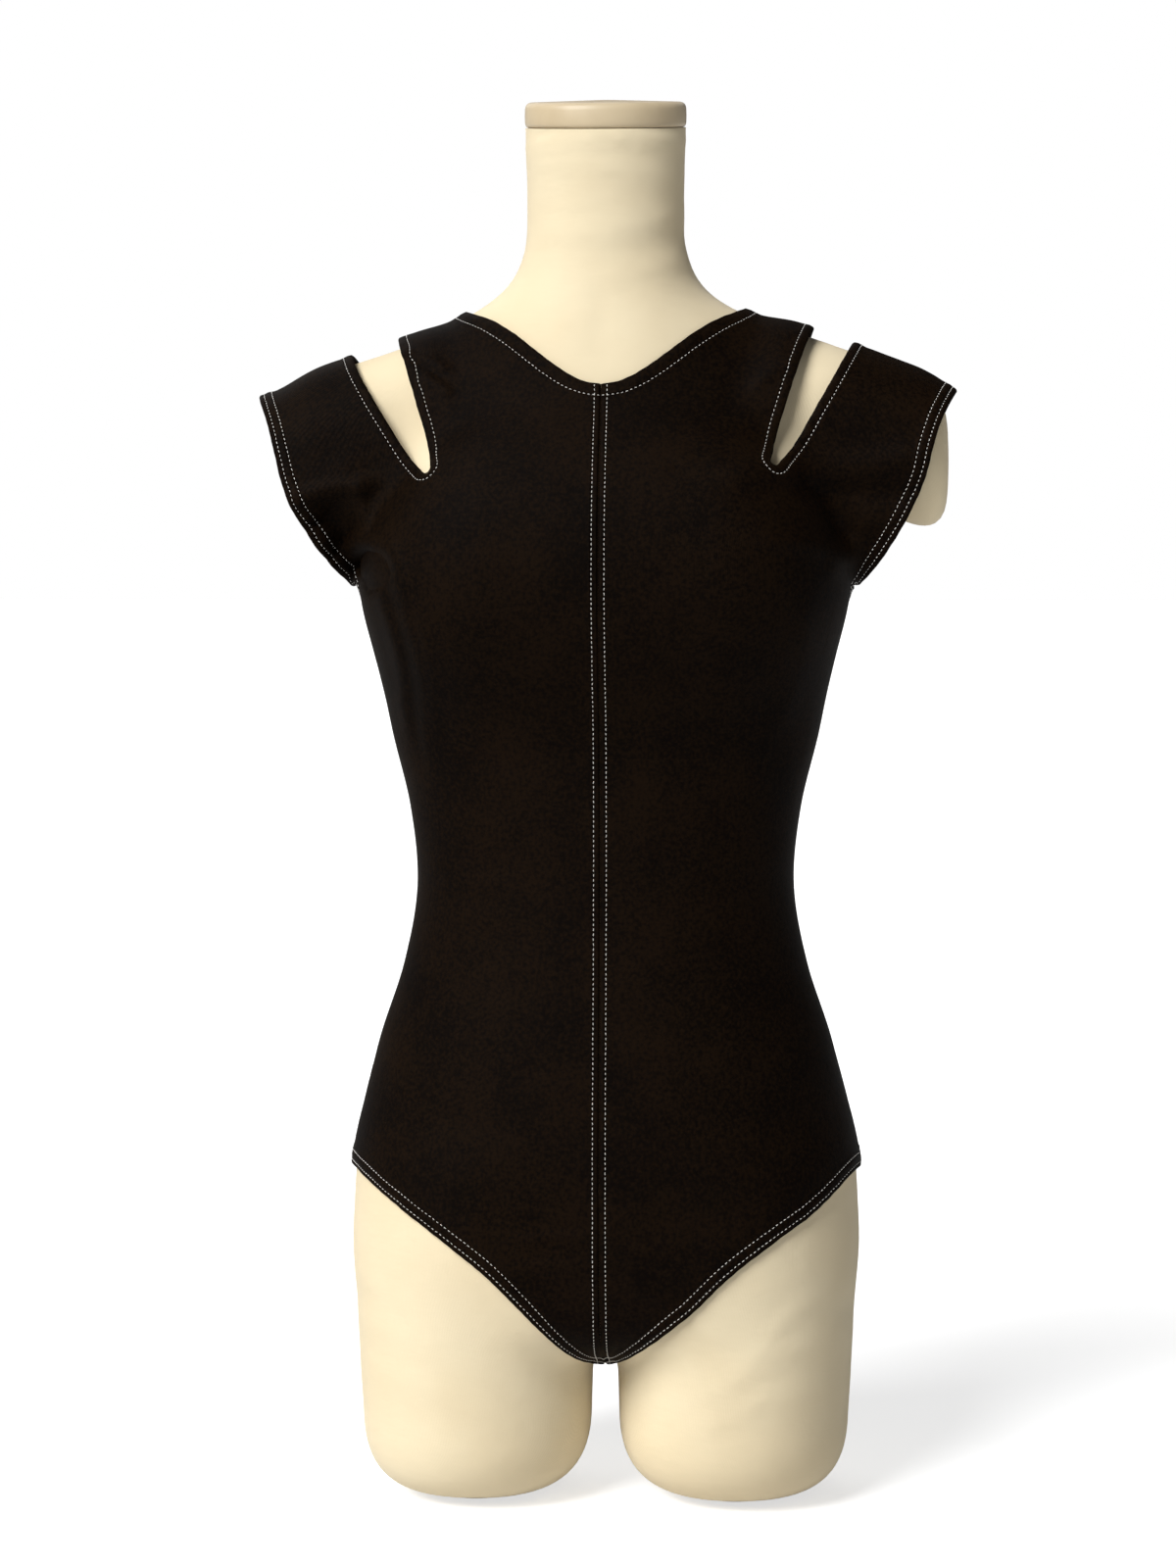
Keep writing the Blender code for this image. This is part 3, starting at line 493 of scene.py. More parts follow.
def pair(x, y, z, spread, height, depth, radii, bridge):
    """Two balls side by side; the bridge fills the hollow between them."""
    if bridge:
        return ball(x - np.clip(x, -spread, spread), y - depth, z - height, radii)
    left = ball(x - spread, y - depth, z - height, radii)
    right = ball(x + spread, y - depth, z - height, radii)
    return join(left, right, radii[0] * PAIR_FILLET_SHARE)


def figure(points, growth, bridge):
    """The body, with its fillets grown and its hollows bridged for cloth."""
    x, y, z = points.T
    body = trunk_body(x, y, z)
    bust = pair(x, y, z, BUST_SPREAD, BUST_HEIGHT, -BUST_FORWARD, BUST_RADII, bridge)
    body = join(body, bust, BUST_FILLET * growth)
    seat = pair(x, y, z, SEAT_SPREAD, SEAT_HEIGHT, SEAT_BACK, SEAT_RADII, bridge)
    body = join(body, seat, SEAT_FILLET * growth)
    thighs = join(thigh_body(x, y, z), thigh_body(-x, y, z), THIGH_GAP_FILLET)
    body = join(body, thighs, GROIN_FILLET)
    return join(body, shoulder_body(x, y, z), SHOULDER_FILLET)


def evened(points):
    """The points as they would lie if both shoulders were at one height."""
    share = np.clip((points[:, 2] - DROP_LOW) / (DROP_HIGH - DROP_LOW), 0.0, 1.0)
    drop = read(SHOULDER_DROP, "x", "drop", -points[:, 0]) * share ** 2 * (3.0 - 2.0 * share)
    result = points.copy()
    result[:, 2] += drop
    return result


def fold_rise(points, folds):
    """How far the folds of a table lift the cloth, or draw it in."""
    x, z = seen(points)
    x = np.where(points[:, 0] < 0.0, -x, x)
    ahead = ahead_of_seam(points) / FOLD_FADE
    total = np.zeros(len(points))
    for face, x_from, z_from, x_to, z_to, bow, width, rise in zip(*folds.values()):
        length = np.hypot(x_to - x_from, z_to - z_from)
        reach = 0.5 * length + FOLD_END * length + FOLD_REACH * width + abs(bow)
        close = np.flatnonzero((np.abs(z - 0.5 * (z_from + z_to)) < reach)
                               & (np.abs(x - 0.5 * (x_from + x_to)) < reach) & (face * ahead > 0.0))
        if len(close) == 0:
            continue
        run = np.array([x_to - x_from, z_to - z_from]) / length
        out, up = x[close] - x_from, z[close] - z_from
        along = out * run[0] + up * run[1]
        share = np.clip(along / length, 0.0, 1.0)
        away = up * run[0] - out * run[1] - 4.0 * bow * share * (1.0 - share)
        past = np.maximum(np.maximum(-along, along - length), 0.0) / (FOLD_END * length)
        shape = np.exp(-(away / width) ** 2 - past ** 2)
        total[close] += rise * shape * np.minimum(face * ahead[close], 1.0)
    return total


def form_level(points):
    """Distance to the dress form, below zero inside it."""
    return figure(evened(points), 1.0, False)


def cover_level(points):
    """Distance to the form's own cover with its slack."""
    return form_level(points) - fold_rise(points, COVER_FOLDS)


def crotch_share(z):
    """How fully a height belongs to the crotch, from 0 to 1."""
    return np.clip((CROTCH_TOP - z) / CROTCH_RUN, 0.0, 1.0)


def cloth_level(points):
    """Distance to the surface that the cloth follows, never inside the form."""
    even = evened(points)
    x, y, z = even.T
    slope = np.radians(SLEEVE_SLOPE)
    out = np.abs(x) - SLEEVE_CENTRE[0]
    up = z - SLEEVE_CENTRE[2]
    along = out * np.cos(slope) - up * np.sin(slope)
    rise = out * np.sin(slope) + up * np.cos(slope)
    depth = SLEEVE_HALF_DEPTH
    tube = oval(rise, y - SLEEVE_CENTRE[1], SLEEVE_HALF_HEIGHT, depth, depth, ROUND_SQUARENESS)
    tube = trim(tube, along - SLEEVE_OUTER_END, SLEEVE_END_ROUND)
    tube = trim(tube, SLEEVE_INNER_END - along, SLEEVE_END_ROUND)
    spanned = even.copy()
    spanned[:, 0] = np.where(z < CROTCH_TOP, np.hypot(x, CROTCH_ROUND * crotch_share(z)), x)
    body = figure(spanned, CLOTH_FILLET_GROWTH, True)
    cloth = join(body, tube, SLEEVE_FILLET) - fold_rise(points, FOLDS)
    return np.minimum(cloth, figure(even, 1.0, False))


def slope_of(level, points):
    """Direction in which a level grows, at each point."""
    columns = []
    for axis in range(3):
        shift = np.zeros(3)
        shift[axis] = STEP
        columns.append((level(points + shift) - level(points - shift)) / (2.0 * STEP))
    return np.stack(columns, axis=1)


def outward(level, points):
    """Unit direction away from the body at each point."""
    slope = slope_of(level, points)
    return slope / np.linalg.norm(slope, axis=1)[:, None]


def settle(level, points, rounds, longest):
    """Points moved onto the surface where the level is zero."""
    for _ in range(rounds):
        slope = slope_of(level, points)
        step = (level(points) / np.sum(slope ** 2, axis=1))[:, None] * slope
        length = np.linalg.norm(step, axis=1)[:, None]
        points = points - step * np.minimum(1.0, longest / np.maximum(length, TINY))
    return points


# Outlines: each is above zero on the cloth that is kept

def seen(points):
    """How far out and how high a point looks from straight ahead."""
    points = evened(points)
    growth = VIEW_DISTANCE / (VIEW_DISTANCE - np.maximum(ahead_of_seam(points), 0.0))
    return np.abs(points[:, 0]) * growth, VIEW_HEIGHT + (points[:, 2] - VIEW_HEIGHT) * growth


def ahead_of_seam(points):
    """Distance ahead of the side, shoulder and crotch seams."""
    return read(SIDE_SEAM, "height", "y", points[:, 2]) - points[:, 1]


def front_cut(points):
    """Ahead of the side, shoulder and crotch seams."""
    return ahead_of_seam(points) - 0.5 * SEAM_GAP


def back_cut(points):
    """Behind the side, shoulder and crotch seams."""
    return -ahead_of_seam(points) - 0.5 * SEAM_GAP


def left_cut(points):
    """On the wearer's left of the centre-front seam."""
    return points[:, 0] - 0.5 * SEAM_GAP


def right_cut(points):
    """On the wearer's right of the centre-front seam."""
    return -points[:, 0] - 0.5 * SEAM_GAP


def neckline_cut(points):
    """Below the neckline."""
    x, z = seen(points)
    front = read(NECKLINE_FRONT, "x", "height", x)
    back = read(NECKLINE_BACK, "x", "height", x)
    edge = np.where(ahead_of_seam(points) > 0.0, front, back)
    return np.where(x > NECKLINE_FRONT["x"][-1], VIEW_DISTANCE, edge - z)


def leg_cut(points):
    """Above the leg openings."""
    x, z = seen(points)
    rise = np.clip((z - LEG_SHIFT_LOW) / LEG_SHIFT_RUN, 0.0, 1.0)
    fade = np.clip((LEG_SIDE - x) / LEG_SHIFT_RUN, 0.0, 1.0)
    x_front = x - np.sign(points[:, 0]) * LEG_SHIFT * rise * fade
    front = read(LEG_FRONT, "x", "height", x_front)
    back = read(LEG_BACK, "x", "height", x)
    return z - np.where(ahead_of_seam(points) > 0.0, front, back)


def from_line(start, end, x, z):
    """How far along a line a seen place lies, and how far to its outer side."""
    line = np.array(end, dtype=float) - np.array(start, dtype=float)
    line = line / np.linalg.norm(line)
    along = (x - start[0]) * line[0] + (z - start[1]) * line[1]
    out = (x - start[0]) * line[1] - (z - start[1]) * line[0]
    return along, out


def slit_cut(points):
    """Outside the shoulder slits."""
    x, z = seen(points)
    along, across = from_line(SLIT_TIP, SLIT_TOP, x, z)
    wider = np.where(points[:, 0] < 0.0, SLIT_WIDER, 0.0) * np.clip(along / SLIT_LENGTH, 0.0, 1.0)
    across = across - 0.5 * wider
    start = SLIT_WIDTH["along"][0]
    below = np.maximum(start - along, 0.0)
    half_width = read(SLIT_WIDTH, "along", "half_width", np.maximum(along, start)) + 0.5 * wider
    return np.hypot(across, below) - half_width


def sleeve_cut(points):
    """Inside the sleeve hems."""
    x, z = seen(points)
    along, out = from_line(HEM_LOW, HEM_HIGH, x, z)
    return np.where(along < HEM_START, VIEW_DISTANCE, read(HEM_BULGE, "along", "out", along) - out)


# Surfaces read from a grid

def spaced_lines(reach, spacing):
    """Grid lines on both sides of zero."""
    lines = np.arange(0.5 * spacing, reach + spacing, spacing)
    return np.concatenate([-lines[::-1], lines])


def grid_lines(low, high, spacing):
    """Grid lines along x, y and z."""
    return spaced_lines(GRID_X, spacing), spaced_lines(GRID_Y, spacing), np.arange(low, high, spacing)


def surface(level, lines, relax_rounds):
    """Closed surface of four-sided cells where the level is zero, cut into triangles."""
    shape = tuple(len(line) for line in lines)
    nodes = np.stack(np.meshgrid(*lines, indexing="ij"), axis=-1)
    values = level(nodes.reshape(-1, 3)).reshape(shape)
    sums = np.zeros((values.size, 3))
    counts = np.zeros(values.size)
    quads = []
    for axis in range(3):
        first, second = (axis + 1) % 3, (axis + 2) % 3
        low = np.take(values, range(shape[axis] - 1), axis=axis)
        high = np.take(values, range(1, shape[axis]), axis=axis)
        edges = np.argwhere((low < 0.0) != (high < 0.0))
        edges = edges[(edges[:, first] > 0) & (edges[:, second] > 0)]
        upper = edges.copy()
        upper[:, axis] += 1
        start = values[tuple(edges.T)]
        share = start / (start - values[tuple(upper.T)])
        crossing = nodes[tuple(edges.T)] + share[:, None] * (nodes[tuple(upper.T)] - nodes[tuple(edges.T)])
        corners = []
        for back_first, back_second in ((1, 1), (0, 1), (0, 0), (1, 0)):
            cell = edges.copy()
            cell[:, first] -= back_first
            cell[:, second] -= back_second
            index = np.ravel_multi_index(tuple(cell.T), shape)
            np.add.at(sums, index, crossing)
            np.add.at(counts, index, 1.0)
            corners.append(index)
        quad = np.stack(corners, axis=1)
        quad[start >= 0.0] = quad[start >= 0.0][:, ::-1]
        quads.append(quad)
    used = np.flatnonzero(counts)
    number = np.full(values.size, -1)
    number[used] = np.arange(len(used))
    quads = number[np.concatenate(quads)]
    points = settle(level, sums[used] / counts[used][:, None], SETTLE_ROUNDS, FACET)
    points = relax(level, points, quads, relax_rounds)
    return points, split_quads(points, quads)


def relax(level, points, quads, rounds):
    """Points spread evenly over the surface."""
    starts = quads.ravel()
    ends = np.roll(quads, -1, axis=1).ravel()
    for _ in range(rounds):
        sums = np.zeros_like(points)
        counts = np.zeros(len(points))
        np.add.at(sums, starts, points[ends])
        np.add.at(counts, starts, 1.0)
        points = settle(level, 0.5 * (points + sums / counts[:, None]), TOUCH_UP_ROUNDS, FACET)
    return points


def split_quads(points, quads):
    """Four-sided cells cut along their shorter diagonal."""
    one = np.linalg.norm(points[quads[:, 0]] - points[quads[:, 2]], axis=1)
    other = np.linalg.norm(points[quads[:, 1]] - points[quads[:, 3]], axis=1)
    turned = np.where((one <= other)[:, None], quads, np.roll(quads, -1, axis=1))
    return np.concatenate([turned[:, [0, 1, 2]], turned[:, [0, 2, 3]]])


def edge_numbers(triangles):
    """Each edge once, and the number of the edge that follows each corner."""
    count = int(triangles.max()) + 1
    ends = np.roll(triangles, -1, axis=1)
    keys = np.minimum(triangles, ends) * count + np.maximum(triangles, ends)
    unique, number = np.unique(keys.ravel(), return_inverse=True)
    return np.stack([unique // count, unique % count], axis=1), number.reshape(triangles.shape)


def edges_of(triangles):
    """Each edge of the triangles once, lower point first."""
    return edge_numbers(triangles)[0]


def halved(triangles, middles):
    """Triangles cut at the middles of some of their edges; -1 stands for no middle."""
    has = middles >= 0
    count = has.sum(axis=1)
    turn = np.where(count == 1, np.argmax(has, axis=1), 0)
    turn = np.where(count == 2, (np.argmin(has, axis=1) + 1) % 3, turn)
    order = (np.arange(3) + turn[:, None]) % 3
    a, b, c = np.take_along_axis(triangles, order, axis=1).T
    ab, bc, ca = np.take_along_axis(middles, order, axis=1).T
    patterns = {
        0: ((a, b, c),),
        1: ((a, ab, c), (ab, b, c)),
        2: ((ab, b, bc), (a, ab, bc), (a, bc, c)),
        3: ((a, ab, ca), (ab, b, bc), (ca, bc, c), (ab, bc, ca)),
    }
    pieces = [np.stack(corners, axis=1)[count == splits]
              for splits, shapes in patterns.items() for corners in shapes]
    return np.concatenate(pieces)


def refine(level, points, triangles, wanted):
    """Triangles halved until hardly any edge is longer than is wanted there."""
    for _ in range(REFINE_ROUNDS):
        edges, number = edge_numbers(triangles)
        middles = 0.5 * (points[edges[:, 0]] + points[edges[:, 1]])
        length = np.linalg.norm(points[edges[:, 0]] - points[edges[:, 1]], axis=1)
        split = length > wanted(middles)
        if not split.any():
            break
        fresh = np.full(len(edges), -1)
        fresh[split] = len(points) + np.arange(np.count_nonzero(split))
        points = np.concatenate([points, settle(level, middles[split], TOUCH_UP_ROUNDS, FACET)])
        triangles = halved(triangles, fresh[number])
    return points, triangles


def cloth_facet(points):
    """Longest edge that is wanted at each place of the cloth."""
    wanted = np.full(len(points), FAR_AWAY)
    wanted[np.abs(fold_rise(points, FOLDS)) > FOLD_SEEN] = FOLD_FACET
    wanted[(np.abs(points[:, 0]) < SEAM_BAND) & (points[:, 1] < 0.0)] = HEM_FACET
    for rule in OUTLINES.values():
        value = rule(points)
        wanted[(value > BAND_OUTSIDE) & (value < BAND_INSIDE)] = HEM_FACET
    return wanted


# Cutting a surface along its outlines

def snap_to_cut(points, triangles, marks, values):
    """Points that lie close to a cut moved onto it, so that no slivers are left."""
    edges = edges_of(triangles)
    start, end = values[edges[:, 0]], values[edges[:, 1]]
    edges = edges[start * end < 0.0]
    share = values[edges[:, 0]] / (values[edges[:, 0]] - values[edges[:, 1]])
    moved = {}
    for (one, other), part in zip(edges.tolist(), share.tolist()):
        for point, partner, way in ((one, other, part), (other, one, 1.0 - part)):
            if way < SNAP_SHARE and not np.any(marks[point] & ~marks[partner]):
                length = way * np.linalg.norm(points[partner] - points[point])
                if point not in moved or length < moved[point][0]:
                    moved[point] = (length, points[point] + way * (points[partner] - points[point]))
    for point, (_, place) in moved.items():
        points[point] = place
        values[point] = 0.0


def cut_surface(points, triangles, marks, values):
    """The part of the surface where the values are above zero."""
    points = points.copy()
    values = values.copy()
    snap_to_cut(points, triangles, marks, values)
    values[np.abs(values) < TINY] = 0.0
    fresh_points, fresh_marks, fresh = [], [], {}

    def crossing(one, other):
        """Number of the point where the cut crosses an edge."""
        key = (min(one, other), max(one, other))
        if key not in fresh:
            share = values[one] / (values[one] - values[other])
            fresh[key] = len(points) + len(fresh_points)
            fresh_points.append(points[one] + share * (points[other] - points[one]))
            fresh_marks.append(marks[one] & marks[other])
        return fresh[key]

    signs = np.sign(values[triangles])
    kept = triangles[(signs.min(axis=1) >= 0.0) & (signs.max(axis=1) > 0.0)].tolist()
    for corners in triangles[(signs.min(axis=1) < 0.0) & (signs.max(axis=1) > 0.0)].tolist():
        ring = []
        for one, other in zip(corners, corners[1:] + corners[:1]):
            if values[one] >= 0.0:
                ring.append(one)
            if values[one] * values[other] < 0.0:
                ring.append(crossing(one, other))
        kept.append(ring[:3])
        if len(ring) == 4:
            kept.append([ring[0], ring[2], ring[3]])
    on_cut = np.concatenate([values == 0.0, np.ones(len(fresh_points), dtype=bool)])
    if fresh_points:
        points = np.concatenate([points, np.array(fresh_points)])
        marks = np.concatenate([marks, np.array(fresh_marks)])
    return points, np.array(kept), marks, on_cut


def drop_unused(points, triangles, marks):
    """Only the points that triangles use."""
    used = np.unique(triangles)
    number = np.full(len(points), -1)
    number[used] = np.arange(len(used))
    return points[used], number[triangles], marks[used]


def settle_on_cuts(level, points, marks, cuts):
    """Edge points moved onto the surface and onto every outline that they belong to."""
    edge = np.flatnonzero(marks.any(axis=1))
    places = points[edge]
    flags = np.concatenate([np.ones((len(edge), 1)), marks[edge].astype(float)], axis=1)
    for _ in range(SETTLE_ROUNDS):
        rows = [slope_of(rule, places) for rule in [level] + cuts]
        gaps = np.stack([rule(places) for rule in [level] + cuts], axis=1) * flags
        slopes = np.stack(rows, axis=1) * flags[:, :, None]
        step = np.einsum("nij,nj->ni", np.linalg.pinv(slopes, rcond=SAME_DIRECTION), gaps)
        length = np.linalg.norm(step, axis=1)[:, None]
        places = places - step * np.minimum(1.0, LONGEST_MOVE / np.maximum(length, TINY))
    points = points.copy()
    points[edge] = places
    return points


def cut_out(level, points, triangles, cuts):
    """Part of a surface inside all the outlines, with smooth edges."""
    marks = np.zeros((len(points), len(cuts)), dtype=bool)
    for place, rule in enumerate(cuts):
        points, triangles, marks, on_cut = cut_surface(points, triangles, marks, rule(points))
        marks[:, place] |= on_cut
        points, triangles, marks = drop_unused(points, triangles, marks)
    points = settle_on_cuts(level, points, marks, cuts)
    triangles = drop_needles(points, triangles, marks)
    return drop_unused(points, triangles, marks)


def drop_needles(points, triangles, marks):
    """Triangles without needles whose three corners lie along one outline."""
    corners = points[triangles]
    sides = np.linalg.norm(corners - np.roll(corners, -1, axis=1), axis=2)
    area = 0.5 * np.linalg.norm(
        np.cross(corners[:, 1] - corners[:, 0], corners[:, 2] - corners[:, 0]), axis=1)
    along_one = (marks[triangles].all(axis=1)).any(axis=1)
    thin = 2.0 * area / sides.max(axis=1) < NEEDLE
    return triangles[~(along_one & thin)]


def open_edges(triangles):
    """Directed edges that only one triangle has."""
    pairs = np.concatenate([triangles[:, [0, 1]], triangles[:, [1, 2]], triangles[:, [2, 0]]])
    present = set(map(tuple, pairs.tolist()))
    return [(one, other) for one, other in present if (other, one) not in present]


def closed_with_flats(points, triangles):
    """The surface with each open loop closed by a flat fan."""
    following = dict(open_edges(triangles))
    points = points.tolist()
    triangles = triangles.tolist()
    while following:
        start = min(following)
        loop = [start]
        while following[loop[-1]] != start:
            loop.append(following[loop[-1]])
        centre = len(points)
        points.append(np.mean([points[index] for index in loop], axis=0).tolist())
        for one in loop:
            triangles.append([following[one], one, centre])
        for one in loop:
            del following[one]
    return np.array(points), np.array(triangles)


# Cloth panels

def edge_distance(points, rims, marks, columns):
    """Distance of each point from the edges that belong to some outlines."""
    samples = []
    for one, other in rims:
        if np.any(marks[one, columns] & marks[other, columns]):
            share = np.linspace(0.0, 1.0, EDGE_POINTS)[:, None]
            samples.append(points[one] + share * (points[other] - points[one]))
    if not samples:
        return np.full(len(points), FAR_AWAY)
    samples = np.concatenate(samples)
    tree = kdtree.KDTree(len(samples))
    for place, sample in enumerate(samples.tolist()):
        tree.insert(sample, place)
    tree.balance()
    return np.array([tree.find(point)[2] for point in points.tolist()])


def hem_rise(distance, width, height, rows):
    """Extra thickness of a turned hem, pinched at its rows of stitches."""
    places = [0.0]
    heights = [HEM_EDGE * height]
    last = 0.0
    for row in rows:
        places += [0.5 * (last + row), row]
        between = min(1.0, HEM_BETWEEN + HEM_BETWEEN_GROWTH * (row - last))
        heights += [height * between, HEM_AT_ROW * height]
        last = row
    places.append(width + HEM_STEP)
    heights.append(0.0)
    return np.interp(distance, places, heights)


def pucker(points, distance):
    """Small waves that fade away from a sewn edge."""
    wave = np.zeros(len(points))
    for size, turn_x, turn_z, bend, bend_turns in PUCKER_WAVES:
        bent = bend * np.sin(points @ np.array(bend_turns))
        wave += size * np.sin(turn_x * points[:, 0] + turn_z * points[:, 2] + bent)
    return PUCKER * wave * np.clip(1.0 - distance / PUCKER_REACH, 0.0, 1.0)


def rim_direction(points, rims, away):
    """Direction out of the cloth's edge, along the cloth, at each edge point."""
    result = np.zeros_like(points)
    for one, other in rims:
        side = np.cross(points[other] - points[one], away[one] + away[other])
        result[one] += side
        result[other] += side
    return result / np.maximum(np.linalg.norm(result, axis=1), TINY)[:, None]


def cloth_shell(points, triangles, marks, seam_axes):
    """Points and faces of one panel's shell, and its outer points and their distances."""
    away = outward(cloth_level, points)
    for place, axis in enumerate(seam_axes):
        away[marks[:, place], axis] = 0.0
    away = away / np.linalg.norm(away, axis=1)[:, None]
    rims = sorted(open_edges(triangles))
    distances = {"seam": edge_distance(points, rims, marks, list(range(len(seam_axes))))}
    thickness = np.full(len(points), CLOTH_THICKNESS)
    for place, (name, (width, height, rows)) in enumerate(HEMS.items()):
        distance = edge_distance(points, rims, marks, [len(seam_axes) + place])
        distances[name] = distance
        thickness += hem_rise(distance, width, height, rows)
        thickness += pucker(points, distance)
    ditch = SEAM_DITCH * np.clip(1.0 - distances["seam"] / SEAM_DITCH_WIDTH, 0.0, 1.0)
    thickness -= ditch * (1.0 - crotch_share(points[:, 2]))
    ease = np.interp(points[:, 2], EASE["height"], EASE["ease"])
    inner = points + (CLEARANCE + ease)[:, None] * away
    outer = inner + thickness[:, None] * away
    rim_side = rim_direction(points, rims, away)
    for place, axis in enumerate(seam_axes):
        rim_side[marks[:, place], axis] = 0.0
    plain_seam = marks[:, :len(seam_axes)].any(axis=1) & ~marks[:, len(seam_axes):].any(axis=1)
    rim_side[plain_seam] = 0.0
    middle = 0.5 * (inner + outer) + EDGE_ROUND * thickness[:, None] * rim_side
    rim_points = sorted({one for edge in rims for one in edge})
    count = len(points)
    rim_place = {one: 2 * count + place for place, one in enumerate(rim_points)}
    faces = np.concatenate([triangles, triangles[:, ::-1] + count]).tolist()
    for one, other in rims:
        m_one, m_other = rim_place[one], rim_place[other]
        faces += [[other, one, m_one], [other, m_one, m_other]]
        faces += [[m_other, m_one, one + count], [m_other, one + count, other + count]]
    return np.concatenate([outer, inner, middle[rim_points]]), faces, outer, away, distances


def weave_places(points, turned):
    """Place of each point on the flat cloth, in metres round and up the body."""
    x, y, z = points.T
    round_body = np.arctan2(x, y if turned else -y) * WEAVE_RADIUS
    return np.stack([round_body, z], axis=1) * MM


# Topstitching

def contour(triangles, values, at):
    """Lines along which the values equal one number, as runs of (one, other, share)."""
    values = values - at
    values[values == 0.0] = TINY
    following = {}
    crossings = {}
    signs = values[triangles] > 0.0
    mixed = triangles[signs.any(axis=1) & ~signs.all(axis=1)]
    for corners in mixed.tolist():
        ends = []
        for one, other in zip(corners, corners[1:] + corners[:1]):
            if (values[one] > 0.0) != (values[other] > 0.0):
                key = (min(one, other), max(one, other))
                crossings[key] = values[key[0]] / (values[key[0]] - values[key[1]])
                ends.append((key, values[one] > 0.0))
        ends.sort(key=lambda end: end[1])
        following[ends[0][0]] = ends[1][0]
    runs = []
    starts = [key for key in following if key not in set(following.values())]
    for start in starts + list(following):
        if start not in following:
            continue
        run = [start]
        while run[-1] in following:
            run.append(following.pop(run[-1]))
        runs.append([(*key, crossings[key]) for key in run])
    return runs


def along_run(run, values):
    """Values of the points of a surface read along one run of a contour."""
    one, other, share = (np.array(column) for column in zip(*run))
    share = share[:, None]
    return values[one.astype(int)] * (1.0 - share) + values[other.astype(int)] * share


def resampled(places, values, at):
    """Rows of values read at given lengths along a line."""
    return np.stack([np.interp(at, places, column) for column in values.T], axis=1)


def stitches_along(line, away, random):
    """Rings of points for each stitch along one line of sewing."""
    length = np.concatenate([[0.0], np.cumsum(np.linalg.norm(np.diff(line, axis=0), axis=1))])
    count = int(length[-1] / STITCH_PITCH)
    if count < 2:
        return np.zeros((0, len(STITCH_RINGS), THREAD_SIDES, 3))
    centres = (np.arange(count) + 0.5) * length[-1] / count
    reach = 0.5 * STITCH_LENGTH + random.uniform(-STITCH_SPREAD, STITCH_SPREAD, count)
    rings = []
    for share, lift, size in STITCH_RINGS:
        at = centres + share * reach
        place = resampled(length, line, at)
        normal = resampled(length, away, at)
        normal = normal / np.linalg.norm(normal, axis=1)[:, None]
        ahead = resampled(length, line, at + LINE_STEP) - resampled(length, line, at - LINE_STEP)
        side = np.cross(ahead, normal)
        side = side / np.maximum(np.linalg.norm(side, axis=1), TINY)[:, None]
        wander = random.uniform(-STITCH_WANDER, STITCH_WANDER, count)[:, None]
        place = place + lift * normal + wander * side
        turn = 2.0 * np.pi * np.arange(THREAD_SIDES) / THREAD_SIDES
        ring = (np.cos(turn)[:, None, None] * side + np.sin(turn)[:, None, None] * normal)
        rings.append(place + THREAD_RADIUS * size * ring)
    return np.stack(rings).transpose(2, 0, 1, 3)


def stitch_faces(count):
    """Faces of all stitches, each a short closed tube."""
    sides = THREAD_SIDES
    corners = len(STITCH_RINGS) * sides
    pattern = []
    for ring in range(len(STITCH_RINGS) - 1):
        for side in range(sides):
            after = (side + 1) % sides
            low = ring * sides
            pattern.append((low + side, low + sides + side, low + sides + after, low + after))
    ends = [tuple(range(sides)), tuple(range(corners - 1, corners - sides - 1, -1))]
    return [tuple(stitch * corners + corner for corner in face)
            for stitch in range(count) for face in pattern + ends]


def topstitching(name, triangles, outer, away, distances, random):
    """All rows of stitches of one panel as one object."""
    rows = [(distances[hem], row) for hem, row in HEM_ROWS]
    if "front" in name:
        rows += [(np.abs(outer[:, 0]), row) for row in SEAM_ROWS]
    rings = []
    for distance, row in rows:
        for run in contour(triangles, distance, row):
            rings.append(stitches_along(along_run(run, outer), along_run(run, away), random))
    rings = np.concatenate(rings)
    return add_object(name, rings.reshape(-1, 3), stitch_faces(len(rings)))


# The dress form

def oval_ring(half_width, front, back, sides):
    """Points round a flat oval."""
    turn = 2.0 * np.pi * np.arange(sides) / sides
    deep = np.where(np.sin(turn) < 0.0, front, back)
    return np.stack([half_width * np.cos(turn), deep * np.sin(turn), np.zeros(sides)], axis=1)


def neck_height(y):
    """Height of the sloping top of the neck."""
    return NECK_CUT_HEIGHT + (y - NECK_CUT_BACK) * np.tan(np.radians(NECK_CUT_TILT))


def neck_cut(points):
    """Below the top of the neck."""
    return neck_height(points[:, 1]) - points[:, 2]


def thigh_cut(points):
    """Above the ends of the thighs."""
    return points[:, 2] - THIGH_CUT


